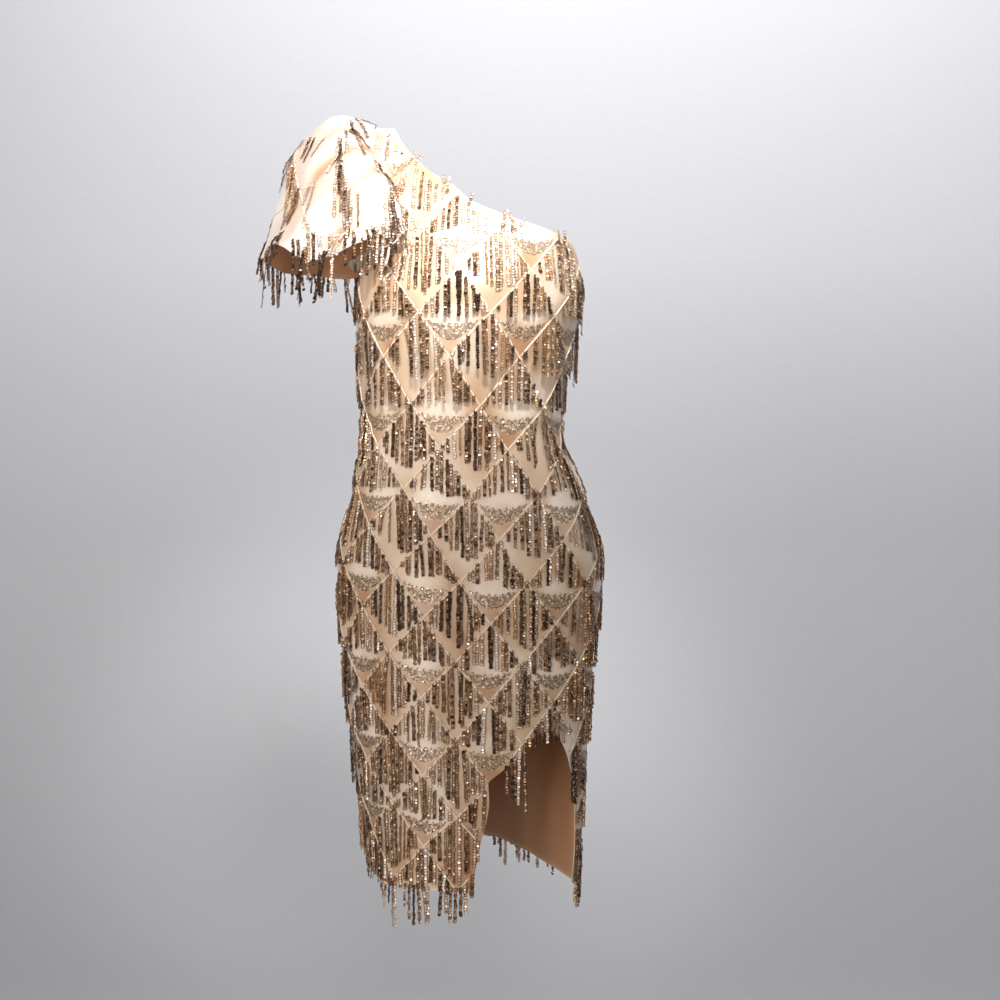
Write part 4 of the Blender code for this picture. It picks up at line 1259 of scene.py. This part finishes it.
def build_small_sequins(side, material):
    places = []
    for row in BLUNT_ROWS:
        top, centres = row_centres(row)
        places += [crescent_places(centre, top) for centre in centres]
    across, height = lattice_place(side, *np.concatenate(places, axis=1))
    level = np.clip(height, LAST_LEVEL, TOP_LEVEL)
    turn = turn_across(side, across, level)
    held = inside_cloth(side, turn, height, 0.004, 0.003)
    centres, out = cloth_point(mirrored(turn, side)[held], level[held], SMALL_CLEARANCE)
    count = len(centres)
    out = unit(out + RNG.normal(0, 0.16, out.shape))
    points = sequin_ring(centres, out, np.full(count, SMALL_RADIUS), np.zeros(count))
    faces = np.arange(count * SEQUIN_SIDES).reshape(count, SEQUIN_SIDES)
    piece = make_mesh(side + "_small_sequins", points.reshape(-1, 3), [faces], [material],
                      smooth=False)
    tone = np.clip(RNG.normal(0.5, 0.26, count), 0, 1)
    point_value(piece, "tone", np.repeat(tone, SEQUIN_SIDES))
    print(piece.name, count, "small sequins")
    return piece


# ---------------------------------------------------------------- materials
class Nodes:
    """Short calls to place and link a material's nodes."""

    def __init__(self, name):
        self.material = bpy.data.materials.new(name)
        self.material.use_nodes = True
        self.tree = self.material.node_tree
        self.shader = self.tree.nodes["Principled BSDF"]

    def add(self, kind, inputs=None, **settings):
        node = self.tree.nodes.new(kind)
        for key, value in settings.items():
            setattr(node, key, value)
        for key, value in (inputs or {}).items():
            self.give(node.inputs[key], value)
        return node

    def give(self, socket, value):
        """Links a node's output to a socket, or sets the socket to a plain value."""
        if isinstance(value, bpy.types.NodeSocket):
            self.tree.links.new(value, socket)
        else:
            socket.default_value = value

    def value(self, name):
        """A value that the mesh has at its points."""
        return self.add("ShaderNodeAttribute", attribute_name=name).outputs["Fac"]

    def noise(self, scale, detail=2.0, stretch=(1, 1, 1)):
        place = self.add("ShaderNodeTexCoord").outputs["Object"]
        mapping = self.add("ShaderNodeMapping", {"Vector": place, "Scale": stretch})
        inputs = {"Vector": mapping.outputs["Vector"], "Scale": scale, "Detail": detail}
        return self.add("ShaderNodeTexNoise", inputs).outputs["Fac"]

    def ramp(self, value, stops):
        node = self.add("ShaderNodeValToRGB", {"Fac": value})
        elements = node.color_ramp.elements
        while len(elements) < len(stops):
            elements.new(0.5)
        for element, (place, colour) in zip(elements, stops):
            element.position = place
            element.color = (*colour, 1.0)
        return node.outputs["Color"]

    def mix(self, share, first, second, blend="MIX"):
        inputs = {0: share, 6: first, 7: second}
        return self.add("ShaderNodeMix", inputs, data_type="RGBA", blend_type=blend).outputs[2]

    def bump(self, height, distance, strength=1.0, normal=None):
        inputs = {"Height": height, "Distance": distance, "Strength": strength}
        if normal:
            inputs["Normal"] = normal
        return self.add("ShaderNodeBump", inputs).outputs["Normal"]

    def set(self, **values):
        for key, value in values.items():
            self.give(self.shader.inputs[key.replace("_", " ")], value)
        return self.material


def satin(name, stretch, roughness, colours):
    """Stretch satin: uneven shades, painted shade in its folds and painted highlights on its
    ridges and in its lattice from the point value shade, fine threads across, a soft sheen.
    """
    nodes = Nodes(name)
    inputs = {0: nodes.value("shade"), 1: 0.26, 2: nodes.noise(16.0, 2.0, (1.0, 1.0, stretch))}
    level = nodes.add("ShaderNodeMath", inputs, operation="MULTIPLY_ADD")
    colour = nodes.ramp(level.outputs["Value"], tuple(zip((0.18, 0.36, 0.52, 0.72), colours)))
    thread = nodes.noise(900.0, 2.0, (1.0, 1.0, 0.16))
    weave = nodes.ramp(thread, ((0.35, (0.88, 0.87, 0.86)), (0.65, (1.0, 1.0, 1.0))))
    colour = nodes.mix(0.55, colour, weave, "MULTIPLY")
    ripple = nodes.noise(70.0, 3.0, (1.0, 1.0, 0.5))
    normal = nodes.bump(ripple, 0.0007, 0.7)
    normal = nodes.bump(thread, 0.00012, 0.6, normal)
    return nodes.set(Base_Color=colour, Roughness=roughness, Normal=normal,
                     Sheen_Weight=0.25, Sheen_Roughness=0.45,
                     Sheen_Tint=(1.0, 0.86, 0.74, 1.0), Specular_IOR_Level=0.55)


def rib_thread():
    """The cream cord along the lattice, with its twist."""
    nodes = Nodes("lattice cord")
    twist = nodes.noise(1400.0, 2.0)
    colour = nodes.ramp(twist, ((0.32, (0.62, 0.46, 0.32)), (0.60, (0.92, 0.78, 0.63))))
    return nodes.set(Base_Color=colour, Roughness=0.42, Normal=nodes.bump(twist, 0.0003, 0.7))


def sequin_gloss():
    """Cup sequins: dark rims in painted shade, bronze, plum and pale floors, the palest near
    white as painted glints, and copper ones.
    """
    nodes = Nodes("cup sequins")
    tone = nodes.value("tone")
    # The lowest stops colour the rims with painted shade; the near-white top stop paints glints.
    cool = nodes.ramp(tone, (
        (0.03, (0.015, 0.008, 0.005)), (0.21, (0.085, 0.045, 0.028)),
        (0.36, (0.36, 0.22, 0.14)), (0.62, (0.74, 0.56, 0.45)), (0.90, (1.0, 0.94, 0.90)),
    ))
    warm = nodes.ramp(tone, (
        (0.03, (0.025, 0.011, 0.005)), (0.21, (0.13, 0.060, 0.024)),
        (0.40, (0.55, 0.31, 0.15)), (0.66, (0.92, 0.66, 0.42)), (0.90, (1.0, 0.88, 0.72)),
    ))
    colour = nodes.mix(nodes.value("warmth"), cool, warm)
    return nodes.set(Base_Color=colour, Metallic=0.55, Roughness=0.30, Coat_Weight=0.30,
                     Coat_Roughness=0.08)


def small_sequin_gloss():
    nodes = Nodes("small sequins")
    colour = nodes.ramp(nodes.value("tone"), (
        (0.05, (0.080, 0.048, 0.028)), (0.40, (0.25, 0.165, 0.100)),
        (0.74, (0.42, 0.30, 0.205)), (0.97, (0.84, 0.72, 0.58)),
    ))
    return nodes.set(Base_Color=colour, Metallic=0.30, Roughness=0.36)


# ---------------------------------------------------------------- studio
CAMERA_PLACE = (0.1346, -2.0, -0.4329)
LENS = 61.5
SENSOR = 36.0
FLOOR_LEVEL = -1.42
WALL_PLACE = 2.4


def studio_surface():
    nodes = Nodes("studio paper")
    grain = nodes.noise(60.0, 3.0)
    # Painted shade: the paper is coloured darker towards the floor, for the light's falloff.
    height = nodes.add("ShaderNodeSeparateXYZ", {
        "Vector": nodes.add("ShaderNodeTexCoord").outputs["Object"]}).outputs["Z"]
    span = nodes.add("ShaderNodeMapRange", {
        "Value": height, "From Min": -1.5, "From Max": 0.5}).outputs["Result"]
    colour = nodes.ramp(span, ((0.0, (0.38, 0.38, 0.39)), (0.45, (0.70, 0.71, 0.73)),
                               (0.85, (0.90, 0.91, 0.95))))
    soft = nodes.ramp(grain, ((0.3, (0.98, 0.98, 0.98)), (0.7, (1.0, 1.0, 1.0))))
    colour = nodes.mix(1.0, colour, soft, "MULTIPLY")
    return nodes.set(Base_Color=colour, Roughness=0.9)


def build_studio():
    """A pale floor that curves up into a pale backdrop."""
    bend = 0.9
    profile = [(-3.0, FLOOR_LEVEL)]
    for i in range(17):
        angle = math.pi / 2 * i / 16
        profile.append((WALL_PLACE - bend + bend * math.sin(angle),
                        FLOOR_LEVEL + bend - bend * math.cos(angle)))
    profile.append((WALL_PLACE, 3.0))
    points = [(x, y, z) for y, z in profile for x in (-4.0, 4.0)]
    faces = [[2 * i, 2 * i + 1, 2 * i + 3, 2 * i + 2] for i in range(len(profile) - 1)]
    data = bpy.data.meshes.new("studio")
    data.from_pydata(points, [], faces)
    data.materials.append(studio_surface())
    data.shade_smooth()
    studio = bpy.data.objects.new("studio", data)
    bpy.context.scene.collection.objects.link(studio)


def add_light(name, place, aim, size, power, colour=(1.0, 1.0, 1.0)):
    light = bpy.data.lights.new(name, "AREA")
    light.shape = "RECTANGLE"
    light.size, light.size_y = size
    light.energy = power
    light.color = colour
    holder = bpy.data.objects.new(name, light)
    holder.location = place
    direction = Vector(aim) - Vector(place)
    holder.rotation_euler = direction.to_track_quat("-Z", "Y").to_euler()
    holder.visible_camera = False
    bpy.context.scene.collection.objects.link(holder)
    return light


def build_lights():
    middle = (0.10, 0.0, -0.45)
    chest = (0.09, -0.10, -0.06)
    key = add_light("key", (0.16, -1.15, 0.45), chest, (0.30, 0.20), 1.4)
    key.spread = math.radians(29)
    add_light("front fill", (-0.9, -2.1, -0.5), (0.10, 0.0, -0.65), (1.0, 1.0), 27,
              (1.0, 0.91, 0.82))
    add_light("right strip", (1.7, -0.6, 0.2), middle, (0.3, 1.4), 5)
    add_light("left strip", (-1.6, -0.5, 0.3), middle, (0.3, 1.4), 5)
    add_light("back fill", (0.2, 1.5, 0.8), middle, (1.2, 0.8), 12)
    add_light("wall wash", (0.5, 0.9, 1.8), (0.8, WALL_PLACE, 0.3), (2.8, 0.5), 36)
    world = bpy.data.worlds.new("studio world")
    world.use_nodes = True
    background = world.node_tree.nodes["Background"]
    background.inputs["Color"].default_value = (0.95, 0.96, 1.0, 1.0)
    background.inputs["Strength"].default_value = 0.28
    bpy.context.scene.world = world
    bpy.context.scene.view_settings.view_transform = "Standard"


def build_camera():
    camera = bpy.data.cameras.new("camera")
    camera.lens = LENS
    camera.sensor_width = SENSOR
    holder = bpy.data.objects.new("camera", camera)
    holder.location = CAMERA_PLACE
    holder.rotation_euler = (math.pi / 2, 0.0, 0.0)
    bpy.context.scene.collection.objects.link(holder)
    bpy.context.scene.camera = holder


# ---------------------------------------------------------------- the dress
def numbered(side, rows):
    """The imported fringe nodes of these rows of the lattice."""
    names = ["fringe_%s_%02d" % (side, row + 3) for row in rows]
    return [name for name in names if name in NODES]


def build_dress():
    outside = satin("champagne satin", 0.7, 0.36, (
        (0.42, 0.225, 0.12), (0.53, 0.345, 0.21), (0.62, 0.455, 0.315), (0.78, 0.65, 0.53)))
    # The inner side: the same satin coloured deeper as painted shade, its noise stretched into
    # upright streaks as painted shade of soft folds.
    inside = satin("shaded satin inside", 0.12, 0.50, (
        (0.36, 0.17, 0.08), (0.44, 0.22, 0.105), (0.50, 0.26, 0.13), (0.60, 0.36, 0.20)))
    sleeve_satin = satin("sleeve satin", 0.7, 0.32, (
        (0.50, 0.25, 0.145), (0.60, 0.43, 0.33), (0.68, 0.565, 0.49), (0.78, 0.69, 0.62)))
    cord, sequins, small = rib_thread(), sequin_gloss(), small_sequin_gloss()
    for side, flat, area in (("front", (0.40, 0.87), 0.255), ("back", (0.40, 0.87), 0.27)):
        cloth = build_panel(side, [outside, inside])
        lattice = build_ribs(side, cord)
        flats = build_small_sequins(side, small)
        tufts = body_tufts(side, UPPER_ROWS)
        if side == "front":
            tufts.append((neck_tufts(), CHEST_TONES))
        upper = build_strands(side + "_fringe_upper", tufts, sequins,
                              numbered(side, UPPER_ROWS) + ["fringe_neck_" + side])
        lower = build_strands(
            side + "_fringe_lower",
            body_tufts(side, LOWER_ROWS) + [(hem_strands(side), BODY_TONES)], sequins,
            numbered(side, LOWER_ROWS) + ["fringe_hem_" + side])
    sleeve = build_sleeve([sleeve_satin, inside])
    lattice = build_sleeve_ribs(cord)
    nodes = [name for name in NODES if name.startswith("fringe_sleeve")]
    parts = [(sleeve_tufts(), SLEEVE_TONES), (sleeve_hem_strands(), HEM_TONES)]
    fringe = build_strands("sleeve_fringe", parts, sequins, nodes)


build_dress()
build_studio()
build_lights()
build_camera()
